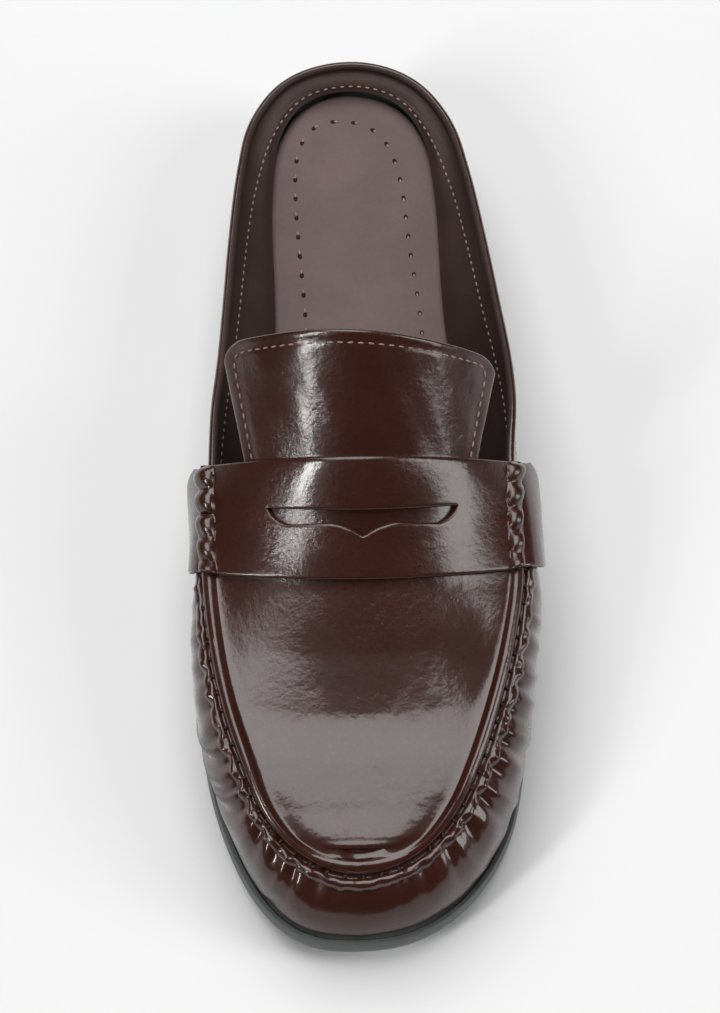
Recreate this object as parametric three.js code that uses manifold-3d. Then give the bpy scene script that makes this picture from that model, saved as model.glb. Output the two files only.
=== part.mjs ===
// Loafer mule, left shoe. Millimetres, z up. The toe points to -y and the lateral side is +x.
// Upper and sole are worked out section by section from toe to heel: a row of each table is one
// section, and its lengths are shares of the named sizes below.
import * as THREE from "three";
import { mergeVertices } from "three/addons/utils/BufferGeometryUtils.js";
import Module from "manifold-3d";

// Driving sizes of the sole
const LENGTH = 268; // outsole, toe tip to heel back
const BALL_WIDTH = 91.5; // outsole across the ball
const TOE_SPRING = 6; // underside of the toe tip above the floor
const HEEL_PITCH = 17.6; // underside of the outsole at the heel back above the floor
const SOLE_EDGE = 8; // outsole edge at the ball
const SIDE_ROUND = 1.2; // side of the sole draws in by this much at its tread
const BED_DEPTH = 1.6; // bed for the insole below the ledge that carries the upper
const HEEL_LENGTH = 74; // heel breast to heel back
const TOP_PIECE = 5.8; // thickness of the piece that stands on the floor
const WEDGE_BREAST = 0.75; // thickness of the wedge lift at the heel breast
const WEDGE_BACK = 4.6; // and at the heel back
const HEEL_TAPER = 1.2; // heel outline inside the outsole's at the floor
const INSOLE = 2.6; // thickness of the footbed
const INSOLE_HOLLOW = 1.2; // its middle below its sides at the ball

// Driving sizes of the upper
const LEDGE = 2.2; // outsole edge beyond the foot of the upper
const WALL = 1.8; // leather with its lining
const WALL_RISE = 35; // side wall above the outsole at the strap
const SWELL = 5; // how far the side wall bulges over its foot at the ball
const INSTEP_CROWN = 22.8; // middle of the instep above the seams at the strap's rear edge
const INSTEP_BOW = 9.2; // middle of the instep ahead of the seams there
const SEAM_WIDTH = 6; // raised apron seam, from foot to foot
const SEAM_HEIGHT = 2; // its rolls above the leather

// Driving sizes of strap and tongue
const STRAP_FRONT = 93.5; // strap's front edge at the seam, behind the toe tip
const STRAP_WIDTH = 30.5;
const STRAP = 2; // its thickness
const EAR_DROP = 11.5; // ears hang this far below the seam
const EAR_CORNER = 6.5; // radius of an ear's rear corner
const EAR_FLARE = 1.2; // ear's free edge off the wall
const EAR_RAKE = 0.5; // ears run back this far for each length that they hang down
const SLOT_WIDTH = 49; // slot across the strap
const SLOT_DEPTH = 4.2; // slot along the strap's width
const SLOT_BEAK = 3; // point in the middle of its front lip
const SLOT_SETBACK = 14; // slot's straight edge ahead of the strap's rear edge
const TONGUE = 1.8; // thickness
const TONGUE_UNDERLAP = 8; // joint with the apron ahead of the strap's rear edge
const TONGUE_FREE = 33.4; // middle of the tongue beyond the strap
const TONGUE_SLOPE = THREE.MathUtils.degToRad(38);
const TONGUE_ROOT = 63; // width under the strap
const TONGUE_END = 75; // width across the free corners
const TONGUE_ARCH = 21.8; // middle of the free edge above its corners
const TONGUE_SWEEP = 6; // its corners behind the middle of the free edge
const TONGUE_TILT = 1.9; // medial corner higher and further back than the middle of the two
const TONGUE_CORNER = 6; // radius of the free corners

const GAP = 0.3; // between pieces that touch
const STRAP_GAP = 0.5; // strap above the leather it crosses

// Sections of the outsole: lateral and medial are shares of the ball width from the centre line,
// spring and pitch share the height of the underside, edge the thickness.
const OUTSOLE = table(
  ["along", "lateral", "medial", "spring", "pitch", "edge"],
  [
    [0.0, -0.044, 0.044, 1.0, 0.0, 0.85],
    [0.007, 0.113, 0.186, 0.87, 0.0, 0.87],
    [0.026, 0.221, 0.266, 0.68, 0.0, 0.9],
    [0.063, 0.333, 0.347, 0.42, 0.0, 0.94],
    [0.119, 0.424, 0.419, 0.17, 0.0, 0.97],
    [0.19, 0.471, 0.473, 0.0, 0.0, 1.0],
    [0.269, 0.495, 0.492, 0.0, 0.0, 1.02],
    [0.336, 0.507, 0.474, 0.0, 0.0, 1.05],
    [0.399, 0.498, 0.442, 0.0, 0.115, 1.06],
    [0.459, 0.468, 0.402, 0.0, 0.247, 1.0],
    [0.515, 0.431, 0.365, 0.0, 0.358, 1.0],
    [0.582, 0.391, 0.339, 0.0, 0.453, 1.0],
    [0.66, 0.363, 0.33, 0.0, 0.553, 1.03],
    [0.75, 0.354, 0.339, 0.0, 0.7, 1.08],
    [0.843, 0.343, 0.339, 0.0, 0.85, 1.15],
    [0.918, 0.306, 0.306, 0.0, 0.945, 1.21],
    [0.968, 0.219, 0.222, 0.0, 0.99, 1.24],
    [0.9925, 0.115, 0.115, 0.0, 1.0, 1.24],
    [1.0, 0.0, 0.0, 0.0, 1.0, 1.24],
  ],
);

// The same sections of the upper: its rim is the apron seam as far as the strap and the collar
// behind it. Rise is the rim above the outsole, swell the wall's bulge, and round says how far the
// wall rolls over to the rim, from 0, straight, to 1, a quarter of an ellipse.
const RIM = table(
  ["along", "lateral", "medial", "rise", "swell", "round"],
  [
    [0.056, -0.038, 0.038, 0.48, 0.2, 1.0],
    [0.066, 0.092, 0.149, 0.517, 0.22, 1.0],
    [0.083, 0.169, 0.225, 0.591, 0.28, 1.0],
    [0.114, 0.245, 0.297, 0.697, 0.42, 1.0],
    [0.157, 0.306, 0.344, 0.814, 0.62, 1.0],
    [0.209, 0.36, 0.392, 0.891, 0.8, 1.0],
    [0.272, 0.411, 0.43, 0.951, 0.92, 1.0],
    [0.343, 0.448, 0.452, 1.011, 1.0, 1.0],
    [0.407, 0.442, 0.452, 1.003, 0.78, 0.85],
    [0.47, 0.446, 0.452, 1.031, 0.52, 0.5],
    [0.53, 0.468, 0.448, 0.963, 0.42, 0.2],
    [0.593, 0.466, 0.43, 0.84, 0.36, 0.0],
    [0.668, 0.442, 0.414, 0.717, 0.34, 0.0],
    [0.757, 0.408, 0.395, 0.586, 0.32, 0.0],
    [0.851, 0.365, 0.366, 0.429, 0.32, 0.0],
    [0.922, 0.313, 0.323, 0.306, 0.3, 0.0],
    [0.972, 0.215, 0.228, 0.257, 0.28, 0.0],
    [0.9925, 0.11, 0.12, 0.249, 0.28, 0.0],
    [0.999, 0.0, 0.0, 0.251, 0.28, 0.0],
  ],
);

// The apron between paired rim points, a row for each of the first sections: its middle stands
// above them by a share of the instep's crown and lies ahead by a share of its bow.
const APRON = table(
  ["crown", "bow"],
  [
    [0.0, 0.0],
    [0.05, 0.02],
    [0.09, 0.04],
    [0.1, 0.09],
    [0.065, 0.16],
    [0.045, 0.27],
    [0.105, 0.43],
    [0.33, 0.65],
    [0.66, 0.92],
    [1.0, 1.0],
    [1.2, 1.0],
  ],
);

// Raised seam across its width: place from the seam line towards the apron, and lift. The wall's
// gathered roll comes first, then the groove, then the roll that the apron's edge makes.
const SEAM = table(
  ["place", "lift"],
  [
    [-0.7, 0.0],
    [-0.52, 0.72],
    [-0.32, 0.25],
    [-0.15, 0.9],
    [0.0, 1.0],
    [0.15, 0.75],
    [0.3, 0.0],
  ],
);

// Side of the outsole from its tread to its top edge: inset from the outline as a share of the
// roundness, and share of the edge's height.
const SOLE_SIDE = table(
  ["inset", "height"],
  [
    [1.0, 0.0],
    [0.3, 0.22],
    [0.0, 0.55],
    [0.42, 1.0],
  ],
);

const LAST = OUTSOLE.length - 1;
const LATERAL = 1;
const MEDIAL = -1;
const STEPS = 3; // stations between two sections

function table(columns, rows) {
  return rows.map((row) => Object.fromEntries(columns.map((name, i) => [name, row[i]])));
}

const vec = (x, y, z) => new THREE.Vector3(x, y, z);
const mix = THREE.MathUtils.lerp;

// Stations in a ring: toe, lateral side, heel, medial side.
const RING = Array.from({ length: 2 * LAST }, (_, j) => {
  const section = j <= LAST ? j : 2 * LAST - j;
  const side = j <= LAST ? "lateral" : "medial";
  const sign = j <= LAST ? LATERAL : MEDIAL;
  const sole = OUTSOLE[section];
  const rim = RIM[section];
  return {
    x: sign * sole[side] * BALL_WIDTH,
    y: sole.along * LENGTH,
    spring: sole.spring,
    pitch: sole.pitch,
    edge: sole.edge,
    rimX: sign * rim[side] * BALL_WIDTH,
    rimY: rim.along * LENGTH,
    rise: rim.rise * WALL_RISE,
    swell: rim.swell * SWELL,
    round: rim.round,
  };
});

const KNOTS = RING.reduce(
  (knots, here, j) => {
    const next = RING[(j + 1) % RING.length];
    return [...knots, knots[j] + Math.hypot(next.x - here.x, next.y - here.y)];
  },
  [0],
);
const GIRTH = KNOTS[RING.length];
const knot = (j) => {
  const turns = Math.floor(j / RING.length);
  return KNOTS[j - turns * RING.length] + turns * GIRTH;
};

// Smooth curve through four values at uneven places, between the middle two.
function between(values, places, u) {
  const [p0, p1, p2, p3] = values;
  const [t0, t1, t2, t3] = places;
  const span = t2 - t1;
  const slope = (a, b, c, ta, tb, tc) =>
    (((b - a) / (tb - ta)) * (tc - tb) + ((c - b) / (tc - tb)) * (tb - ta)) / (tc - ta);
  const m1 = slope(p0, p1, p2, t0, t1, t2) * span;
  const m2 = slope(p1, p2, p3, t1, t2, t3) * span;
  const u2 = u * u;
  const u3 = u2 * u;
  return (2 * u3 - 3 * u2 + 1) * p1 + (u3 - 2 * u2 + u) * m1 + (3 * u2 - 2 * u3) * p2 + (u3 - u2) * m2;
}

// Everything known at section s, a number from 0 at the toe to LAST at the heel, on one side.
function station(side, s) {
  const place = side === LATERAL ? s : 2 * LAST - s;
  const j = Math.floor(place);
  const rows = [j - 1, j, j + 1, j + 2];
  const at = rows.map((i) => RING[(i + RING.length) % RING.length]);
  const places = rows.map(knot);
  const found = {};
  for (const name of Object.keys(RING[0]))
    found[name] = between(at.map((row) => row[name]), places, place - j);
  return found;
}

// Outward direction in plan of the outline ("x", "y") or the rim ("rimX", "rimY") at a station.
function outward(side, s, xName, yName) {
  const step = 0.02;
  const ahead = station(side, s + step);
  const behind = station(side, s - step);
  const dx = ahead[xName] - behind[xName];
  const dy = ahead[yName] - behind[yName];
  return vec(dy, -dx, 0).normalize().multiplyScalar(side);
}

const underside = (here) => Math.max(0, here.spring * TOE_SPRING + here.pitch * HEEL_PITCH);
const soleTop = (here) => underside(here) + here.edge * SOLE_EDGE;

// A point of the sole's outline, inset in plan, at a given height.
function outlinePoint(side, s, inset, height) {
  const here = station(side, s);
  const out = outward(side, s, "x", "y");
  return vec(here.x - out.x * inset, here.y - out.y * inset, height(here));
}

// Sections s between two ends, with STEPS stations to each.
function sections(from, to) {
  const count = Math.ceil((to - from) * STEPS);
  return Array.from({ length: count + 1 }, (_, i) => mix(from, to, i / count));
}

// Section at which a value of the lateral stations that grows from toe to heel reaches a target.
function sectionWhere(name, target) {
  let low = 0;
  let high = LAST;
  for (let i = 0; i < 40; i++) {
    const middle = (low + high) / 2;
    if (station(LATERAL, middle)[name] < target) low = middle;
    else high = middle;
  }
  return low;
}

// Section whose rim lies a given distance behind the toe tip.
const sectionAt = (y) => sectionWhere("rimY", y);

// Side wall of the upper: v runs from 0 at its foot to 1 at the rim.
function wallPoint(side, s, v) {
  const here = station(side, s);
  const foot = outlinePoint(side, s, LEDGE, (h) => soleTop(h) + GAP);
  const out = outward(side, s, "x", "y");
  const turn = (v * Math.PI) / 2;
  const inward = mix(v, 1 - Math.cos(turn), here.round);
  const up = mix(v, Math.sin(turn), here.round);
  const bulge = here.swell * Math.sin(v * Math.PI);
  return vec(
    mix(foot.x, here.rimX, inward) + out.x * bulge,
    mix(foot.y, here.rimY, inward) + out.y * bulge,
    foot.z + up * (here.rise - GAP),
  );
}

// Share v of the wall that lies a given distance below the rim, measured along the wall.
function wallShare(side, s, distance) {
  const step = 0.02;
  let v = 1;
  let walked = 0;
  let here = wallPoint(side, s, v);
  while (v > step) {
    const next = wallPoint(side, s, v - step);
    const stride = here.distanceTo(next);
    if (walked + stride > distance) return v - (step * (distance - walked)) / stride;
    walked += stride;
    v -= step;
    here = next;
  }
  return step;
}

function apronValue(name, s) {
  const j = Math.min(Math.floor(s), APRON.length - 2);
  const rows = [j - 1, j, j + 1, j + 2].map((i) => Math.max(0, Math.min(APRON.length - 1, i)));
  return between(rows.map((i) => APRON[i][name]), [-1, 0, 1, 2], s - j);
}

// Apron and instep between the two rims: t runs from -1, medial, to 1, lateral.
function apronPoint(s, t) {
  const medial = station(MEDIAL, s);
  const lateral = station(LATERAL, s);
  const share = (t + 1) / 2;
  const arch = 1 - t * t;
  const rim = (here) => soleTop(here) + here.rise;
  return vec(
    mix(medial.rimX, lateral.rimX, share),
    mix(medial.rimY, lateral.rimY, share) - arch * apronValue("bow", s) * INSTEP_BOW,
    mix(rim(medial), rim(lateral), share) + arch * apronValue("crown", s) * INSTEP_CROWN,
  );
}

// Point of the apron a short way in from the rim: square to the rim round the toe, where the two
// sides are close, and straight across further back.
function besideRim(side, s, distance) {
  const here = station(side, s);
  const width = Math.abs(here.rimX - station(-side, s).rimX);
  const inward = outward(side, s, "rimX", "rimY").multiplyScalar(-distance);
  const square = vec(here.rimX + inward.x, here.rimY + inward.y, soleTop(here) + here.rise);
  const share = (2 * distance) / Math.max(width, 4 * distance, GAP);
  const opening = (width - 2 * SEAM_WIDTH) / (4 * SEAM_WIDTH);
  return square.lerp(apronPoint(s, side * (1 - share)), THREE.MathUtils.clamp(opening, 0, 1));
}

// One row across the apron: rim, seam, middle, seam, rim.
function apronRow(s, shares) {
  const places = SEAM.filter((row) => row.place > 0).map((row) => row.place * SEAM_WIDTH);
  const innermost = places[places.length - 1];
  const edge = (side) => [0, ...places].map((d) => besideRim(side, s, d));
  const width = apronPoint(s, 1).distanceTo(apronPoint(s, -1));
  const reach = 1 - Math.min((2 * innermost) / Math.max(width, 1e-6), 1);
  const joins = [MEDIAL, LATERAL].map((side) => besideRim(side, s, innermost));
  const middle = shares.map((t) => {
    const raw = apronPoint(s, t * reach);
    const ends = [apronPoint(s, -reach), apronPoint(s, reach)];
    const share = (t + 1) / 2;
    const shift = joins[0].clone().sub(ends[0]).lerp(joins[1].clone().sub(ends[1]), share);
    return raw.add(shift);
  });
  return [...edge(MEDIAL), ...middle, ...edge(LATERAL).reverse()];
}

// A closed body from its triangles, given as point triples in any order of rows.
function bodyFrom(triangles) {
  const positions = [];
  for (const corners of triangles) for (const p of corners) positions.push(p.x, p.y, p.z);
  const loose = new THREE.BufferGeometry();
  loose.setAttribute("position", new THREE.Float32BufferAttribute(positions, 3));
  const merged = mergeVertices(loose, 1e-3);
  const index = merged.index.array;
  const kept = [];
  for (let i = 0; i < index.length; i += 3) {
    const [a, b, c] = [index[i], index[i + 1], index[i + 2]];
    if (a !== b && b !== c && c !== a) kept.push(a, b, c);
  }
  const at = (i) => new THREE.Vector3().fromBufferAttribute(merged.attributes.position, i);
  let volume = 0;
  for (let i = 0; i < kept.length; i += 3)
    volume += at(kept[i]).dot(at(kept[i + 1]).cross(at(kept[i + 2])));
  if (volume < 0) kept.reverse();
  merged.setIndex(kept);
  return merged;
}

// Triangles of a grid of points, row by row.
function gridTriangles(rows) {
  const triangles = [];
  for (let r = 0; r + 1 < rows.length; r++)
    for (let c = 0; c + 1 < rows[r].length; c++) {
      const [a, b] = [rows[r][c], rows[r][c + 1]];
      const [d, e] = [rows[r + 1][c], rows[r + 1][c + 1]];
      triangles.push([a, b, e], [a, e, d]);
    }
  return triangles;
}

// Body through sections of two lists of points each, low and high, both from medial to lateral.
function sectionBody(rows) {
  const loops = rows.map(({ low, high }) => [...low, ...[...high].reverse(), low[0]]);
  const triangles = gridTriangles(loops);
  const cap = ({ low, high }, flip) => {
    if (low[0].distanceTo(low[low.length - 1]) < GAP) return; // the section closes to a line
    for (const [a, b, c] of gridTriangles([low, high])) triangles.push(flip ? [c, b, a] : [a, b, c]);
  };
  cap(rows[0], true);
  cap(rows[rows.length - 1], false);
  return bodyFrom(triangles);
}

// A leather piece: its base surface is given as grids of { point, outer, inner, level }, and the
// piece lies between the two offsets along the surface's normal. Level keeps an edge horizontal.
function leather(grids) {
  const nodes = [];
  const places = new Map();
  const indexOf = (node) => {
    const key = node.point.toArray().map((n) => Math.round(n * 1e3)).join();
    if (!places.has(key)) {
      places.set(key, nodes.length);
      nodes.push(node);
    }
    return places.get(key);
  };
  const faces = [];
  for (const grid of grids)
    for (const corners of gridTriangles(grid)) {
      const [a, b, c] = corners.map(indexOf);
      if (a !== b && b !== c && c !== a) faces.push([a, b, c]);
    }
  const normals = nodes.map(() => vec(0, 0, 0));
  for (const [a, b, c] of faces) {
    const [p, q, r] = [a, b, c].map((i) => nodes[i].point);
    const normal = q.clone().sub(p).cross(r.clone().sub(p));
    for (const i of [a, b, c]) normals[i].add(normal);
  }
  const offset = (i, distance) => {
    const normal = normals[i].clone();
    if (nodes[i].level) normal.z = 0;
    return nodes[i].point.clone().addScaledVector(normal.normalize(), distance);
  };
  const outside = nodes.map((node, i) => offset(i, node.outer));
  const inside = nodes.map((node, i) => offset(i, node.inner));
  const edges = new Set(faces.flatMap(([a, b, c]) => [a + "," + b, b + "," + c, c + "," + a]));
  const triangles = [];
  for (const [a, b, c] of faces) {
    triangles.push([outside[a], outside[b], outside[c]]);
    triangles.push([inside[c], inside[b], inside[a]]);
    for (const [p, q] of [[a, b], [b, c], [c, a]])
      if (!edges.has(q + "," + p)) {
        triangles.push([outside[q], outside[p], inside[p]]);
        triangles.push([outside[q], inside[p], inside[q]]);
      }
  }
  return bodyFrom(triangles);
}

const STRAP_REAR = STRAP_FRONT + STRAP_WIDTH;
const APRON_END = sectionAt(STRAP_REAR - TONGUE_UNDERLAP);
const STRAP_END = sectionAt(STRAP_REAR);
const BREAST = sectionWhere("y", LENGTH - HEEL_LENGTH);

// Outsole: tread, shaped side, ledge for the upper and a bed for the insole.
function outsole() {
  const bedInset = LEDGE + WALL + 2 * GAP;
  const shares = [-0.5, 0, 0.5];
  const across = (list, t) => list[0].clone().lerp(list[1], (t + 1) / 2);
  return sectionBody(
    sections(0, LAST).map((s) => {
      const edge = (side, { inset, height }) =>
        outlinePoint(side, s, inset * SIDE_ROUND, (h) => mix(underside(h), soleTop(h), height));
      const low = SOLE_SIDE.slice(0, 3);
      const tread = [MEDIAL, LATERAL].map((side) => edge(side, SOLE_SIDE[0]));
      const bed = [MEDIAL, LATERAL].map((side) =>
        outlinePoint(side, s, bedInset, (h) => soleTop(h) - BED_DEPTH));
      const rim = (side) => [
        edge(side, SOLE_SIDE[2]),
        edge(side, SOLE_SIDE[3]),
        outlinePoint(side, s, bedInset, soleTop),
      ];
      return {
        low: [
          ...low.map((row) => edge(MEDIAL, row)).reverse(),
          ...shares.map((t) => across(tread, t)),
          ...low.map((row) => edge(LATERAL, row)),
        ],
        high: [
          ...rim(MEDIAL),
          ...[-1, 0, 1].map((t) => across(bed, t)),
          ...rim(LATERAL).reverse(),
        ],
      };
    }),
  );
}

// A layer of the heel between two heights, each a function of the station.
function heelLayer(bottom, top) {
  const inset = (h, height) => SIDE_ROUND + HEEL_TAPER * (1 - height(h) / underside(h));
  return sectionBody(
    sections(BREAST, LAST).map((s) => {
      const level = (height) =>
        [MEDIAL, LATERAL].map((side) =>
          outlinePoint(side, s, inset(station(side, s), height), height));
      const [low, high] = [level(bottom), level(top)];
      return { low, high };
    }),
  );
}
const topPieceTop = () => TOP_PIECE;
const wedgeTop = (h) => underside(h) - GAP;
const liftTop = (h) => {
  const breast = station(LATERAL, BREAST).pitch;
  const back = (h.pitch - breast) / (1 - breast);
  return wedgeTop(h) - mix(WEDGE_BREAST, WEDGE_BACK, back) - GAP;
};
const raised = (height) => (h) => height(h) + GAP;

// Insole: follows the bed inside the upper, a little hollow along its middle.
function insole() {
  const inset = LEDGE + WALL + 3 * GAP;
  const shares = [-1, -0.4, 0.4, 1];
  return sectionBody(
    sections(0, LAST).map((s) => {
      const across = (height) => {
        const ends = [MEDIAL, LATERAL].map((side) =>
          outlinePoint(side, s, inset, (h) => soleTop(h) - BED_DEPTH + height));
        return shares.map((t) => ends[0].clone().lerp(ends[1], (t + 1) / 2));
      };
      const high = across(GAP + INSOLE);
      const hollow = (INSOLE_HOLLOW * high[0].distanceTo(high[high.length - 1])) / BALL_WIDTH;
      high.forEach((p, i) => (p.z -= hollow * (1 - shares[i] ** 2)));
      return { low: across(GAP), high };
    }),
  );
}

// Upper: side wall all round and the apron, one shell, open underneath, at the collar and throat.
function upper() {
  const seamPlaces = SEAM.filter((row) => row.place < 0).map((row) => -row.place * SEAM_WIDTH);
  const fadeLength = 0.6; // sections over which the seam dies out under the strap
  const fade = (s) => Math.min(1, Math.max(0, (APRON_END - s) / fadeLength));
  const node = (point, lift, level = false) => ({ point, outer: lift, inner: -WALL, level });
  const wallSteps = 6;
  const wallRow = (side, s) => {
    const foot = wallShare(side, s, seamPlaces[0]);
    const low = Array.from({ length: wallSteps }, (_, i) => (foot * i) / wallSteps);
    const high = [foot, ...seamPlaces.slice(1).map((d) => wallShare(side, s, d)), 1];
    const lifts = [...low.map(() => 0), ...SEAM.slice(0, high.length).map((row) => row.lift)];
    return [...low, ...high]
      .map((v, i) => node(wallPoint(side, s, v), lifts[i] * SEAM_HEIGHT * fade(s), v === 0))
      .reverse();
  };
  const front = sections(0, APRON_END);
  const rear = sections(APRON_END, LAST).slice(1);
  const path = [...front, ...rear];
  const wall = [
    ...path.map((s) => wallRow(LATERAL, s)),
    ...[...path].reverse().slice(1).map((s) => wallRow(MEDIAL, s)),
  ];
  const shares = [-0.8, -0.6, -0.4, -0.2, 0, 0.2, 0.4, 0.6, 0.8];
  const inner = SEAM.filter((row) => row.place >= 0).map((row) => row.lift * SEAM_HEIGHT);
  const apron = front.map((s) => {
    const lifts = [...inner, ...shares.map(() => 0), ...[...inner].reverse()];
    return apronRow(s, shares).map((point, i) => node(point, lifts[i] * fade(s)));
  });
  return leather([wall, apron]);
}

// Rows of the tongue's base surface: under the strap it follows the instep, and beyond the strap it
// runs straight on and fans out.
function tongue() {
  const shares = [-1, -0.93, -0.8, -0.6, -0.4, -0.2, 0, 0.2, 0.4, 0.6, 0.8, 0.93, 1];
  const along = (s) => {
    const width = 2 * Math.abs(station(LATERAL, s).rimX - apronPoint(s, 0).x);
    return shares.map((t) => apronPoint(s, (t * TONGUE_ROOT) / width));
  };
  const slant = 1.4; // the joint faces down the instep, so its gap is longer along y
  const start = sectionAt(STRAP_REAR - TONGUE_UNDERLAP + slant * GAP);
  const root = along(STRAP_END);
  const crest = apronPoint(STRAP_END, 0);
  crest.add(vec(0, Math.cos(TONGUE_SLOPE), Math.sin(TONGUE_SLOPE)).multiplyScalar(TONGUE_FREE));
  const end = shares.map((t) =>
    vec(
      crest.x + (t * TONGUE_END) / 2,
      crest.y + TONGUE_SWEEP * t * t - TONGUE_TILT * t,
      crest.z - TONGUE_ARCH * t * t - TONGUE_TILT * t,
    ),
  );
  const reach = (t) => {
    const into = Math.max(0, 1 - ((1 - Math.abs(t)) * TONGUE_END) / 2 / TONGUE_CORNER);
    return 1 - (TONGUE_CORNER * (1 - Math.sqrt(1 - into * into))) / TONGUE_FREE;
  };
  const free = [0.12, 0.25, 0.4, 0.55, 0.7, 0.85, 1].map((a) =>
    root.map((p, i) => p.clone().lerp(end[i], a * reach(shares[i]))));
  const rows = [along(start), along((start + STRAP_END) / 2), root, ...free];
  return leather([rows.map((row) => row.map((point) => ({ point, outer: 0, inner: -TONGUE })))]);
}

// One row across the strap, from one ear's free edge over the instep to the other's.
function strapRow(y) {
  const s = sectionAt(y);
  const fromRear = STRAP_REAR - y;
  const into = Math.max(0, EAR_CORNER - fromRear);
  const cut = EAR_CORNER - Math.sqrt(EAR_CORNER ** 2 - into ** 2);
  const seam = SEAM.filter((row) => row.place < 0);
  const seamFoot = -seam[0].place * SEAM_WIDTH;
  const drop = EAR_DROP - cut;
  const hang = [1, 0.8, 0.6, 0.35].map((share) => mix(seamFoot, drop, share));
  const node = (point, lift, flare = 0) => {
    const inner = STRAP_GAP + lift * SEAM_HEIGHT + flare;
    return { point, outer: inner + STRAP, inner };
  };
  const ear = (side) => {
    const at = (d) => {
      const sEar = sectionAt(y + EAR_RAKE * d);
      return wallPoint(side, sEar, wallShare(side, sEar, d));
    };
    const flare = (d) => EAR_FLARE * ((d - seamFoot) / (EAR_DROP - seamFoot)) ** 2;
    return [
      ...hang.map((d) => node(at(d), 0, flare(d))),
      ...seam.map((row) => node(at(-row.place * SEAM_WIDTH), row.lift)),
    ];
  };
  const shares = [-0.84, -0.68, -0.5, -0.3, -0.1, 0.1, 0.3, 0.5, 0.68, 0.84];
  const inner = SEAM.filter((row) => row.place >= 0).map((row) => row.lift);
  const lifts = [...inner, ...shares.map(() => 0), ...[...inner].reverse()];
  const over = apronRow(s, shares).map((point, i) => node(point, lifts[i]));
  return [...ear(MEDIAL), ...over, ...ear(LATERAL).reverse()];
}

// The slot's outline: a straight rear edge, ends that round into the front lip, a beak in its
// middle. It is drawn with x across the strap and y towards the toe.
function slotTool() {
  const half = SLOT_WIDTH / 2;
  const outline = new THREE.Shape();
  outline.moveTo(-half, 0);
  outline.lineTo(half, 0);
  outline.quadraticCurveTo(0.95 * half, 0.8 * SLOT_DEPTH, 0.8 * half, SLOT_DEPTH);
  outline.lineTo(0.35 * half, 0.85 * SLOT_DEPTH);
  outline.quadraticCurveTo(0.15 * half, SLOT_DEPTH, 0, SLOT_DEPTH + SLOT_BEAK);
  outline.quadraticCurveTo(-0.15 * half, SLOT_DEPTH, -0.35 * half, 0.85 * SLOT_DEPTH);
  outline.lineTo(-0.8 * half, SLOT_DEPTH);
  outline.quadraticCurveTo(-0.95 * half, 0.8 * SLOT_DEPTH, -half, 0);
  const depth = 2 * INSTEP_CROWN; // well through the strap, which arches less than this
  const tool = new THREE.ExtrudeGeometry(outline, { depth, bevelEnabled: false, curveSegments: 5 });
  const rear = apronPoint(STRAP_END, 0);
  const front = apronPoint(sectionAt(STRAP_FRONT + STRAP_WIDTH / 3), 0);
  const ahead = front.clone().sub(rear).setX(0).normalize();
  const across = vec(1, 0, 0);
  const down = across.clone().cross(ahead);
  const corner = rear.addScaledVector(ahead, SLOT_SETBACK).addScaledVector(down, -depth / 2);
  return tool.applyMatrix4(new THREE.Matrix4().makeBasis(across, ahead, down).setPosition(corner));
}

const wasm = await Module();
wasm.setup();

function solidOf(geometry) {
  const bare = geometry.clone();
  bare.deleteAttribute("normal");
  bare.deleteAttribute("uv");
  const merged = mergeVertices(bare, 1e-3);
  return new wasm.Manifold(
    new wasm.Mesh({
      numProp: 3,
      vertProperties: merged.attributes.position.array,
      triVerts: new Uint32Array(merged.index.array),
    }),
  );
}

function strap() {
  const places = [0, 0.012, 0.04, 0.1, 0.2, 0.35, 0.5, 0.65, 0.78, 0.86, 0.92, 0.965, 0.99, 1];
  const rows = places.map((place) => strapRow(STRAP_FRONT + place * STRAP_WIDTH));
  const cut = solidOf(leather([rows])).subtract(solidOf(slotTool())).getMesh();
  const geometry = new THREE.BufferGeometry();
  geometry.setAttribute("position", new THREE.BufferAttribute(cut.vertProperties, 3));
  geometry.setIndex(new THREE.BufferAttribute(cut.triVerts, 1));
  return geometry;
}

const material = (color, roughness) => new THREE.MeshStandardMaterial({ color, roughness });
const LEATHER = material(0x43261f, 0.3);
const SOLE = material(0x2f2f31, 0.55);
const LIFT = material(0x53545a, 0.45);
const FOOTBED = material(0x685654, 0.8);

const shoe = new THREE.Group();
function piece(name, geometry, finish) {
  const mesh = new THREE.Mesh(geometry, finish);
  mesh.name = name;
  shoe.add(mesh);
}
piece("outsole", outsole(), SOLE);
piece("heel_top_piece", heelLayer(() => 0, topPieceTop), SOLE);
piece("heel_lift", heelLayer(raised(topPieceTop), liftTop), LIFT);
piece("heel_wedge", heelLayer(raised(liftTop), wedgeTop), LIFT);
piece("insole", insole(), FOOTBED);
piece("upper", upper(), LEATHER);
piece("tongue", tongue(), LEATHER);
piece("strap", strap(), LEATHER);

// Origin: middle of the shoe's box, on the floor
const box = new THREE.Box3().setFromObject(shoe);
const middle = box.getCenter(vec(0, 0, 0));
shoe.position.set(-middle.x, -middle.y, -box.min.z);
export default shoe;
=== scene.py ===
"""Loafer mule, left shoe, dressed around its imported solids.

The toe points to -Y, the lateral side is +X and Z is up. The shoe's own sizes are in millimetres,
measured from the toe tip, as its maker would give them; meshes are placed in metres.
"""

import math

import bmesh
import bpy
import numpy as np
from bpy.props import FloatProperty, FloatVectorProperty, PointerProperty
from mathutils import Matrix, Vector


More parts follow.
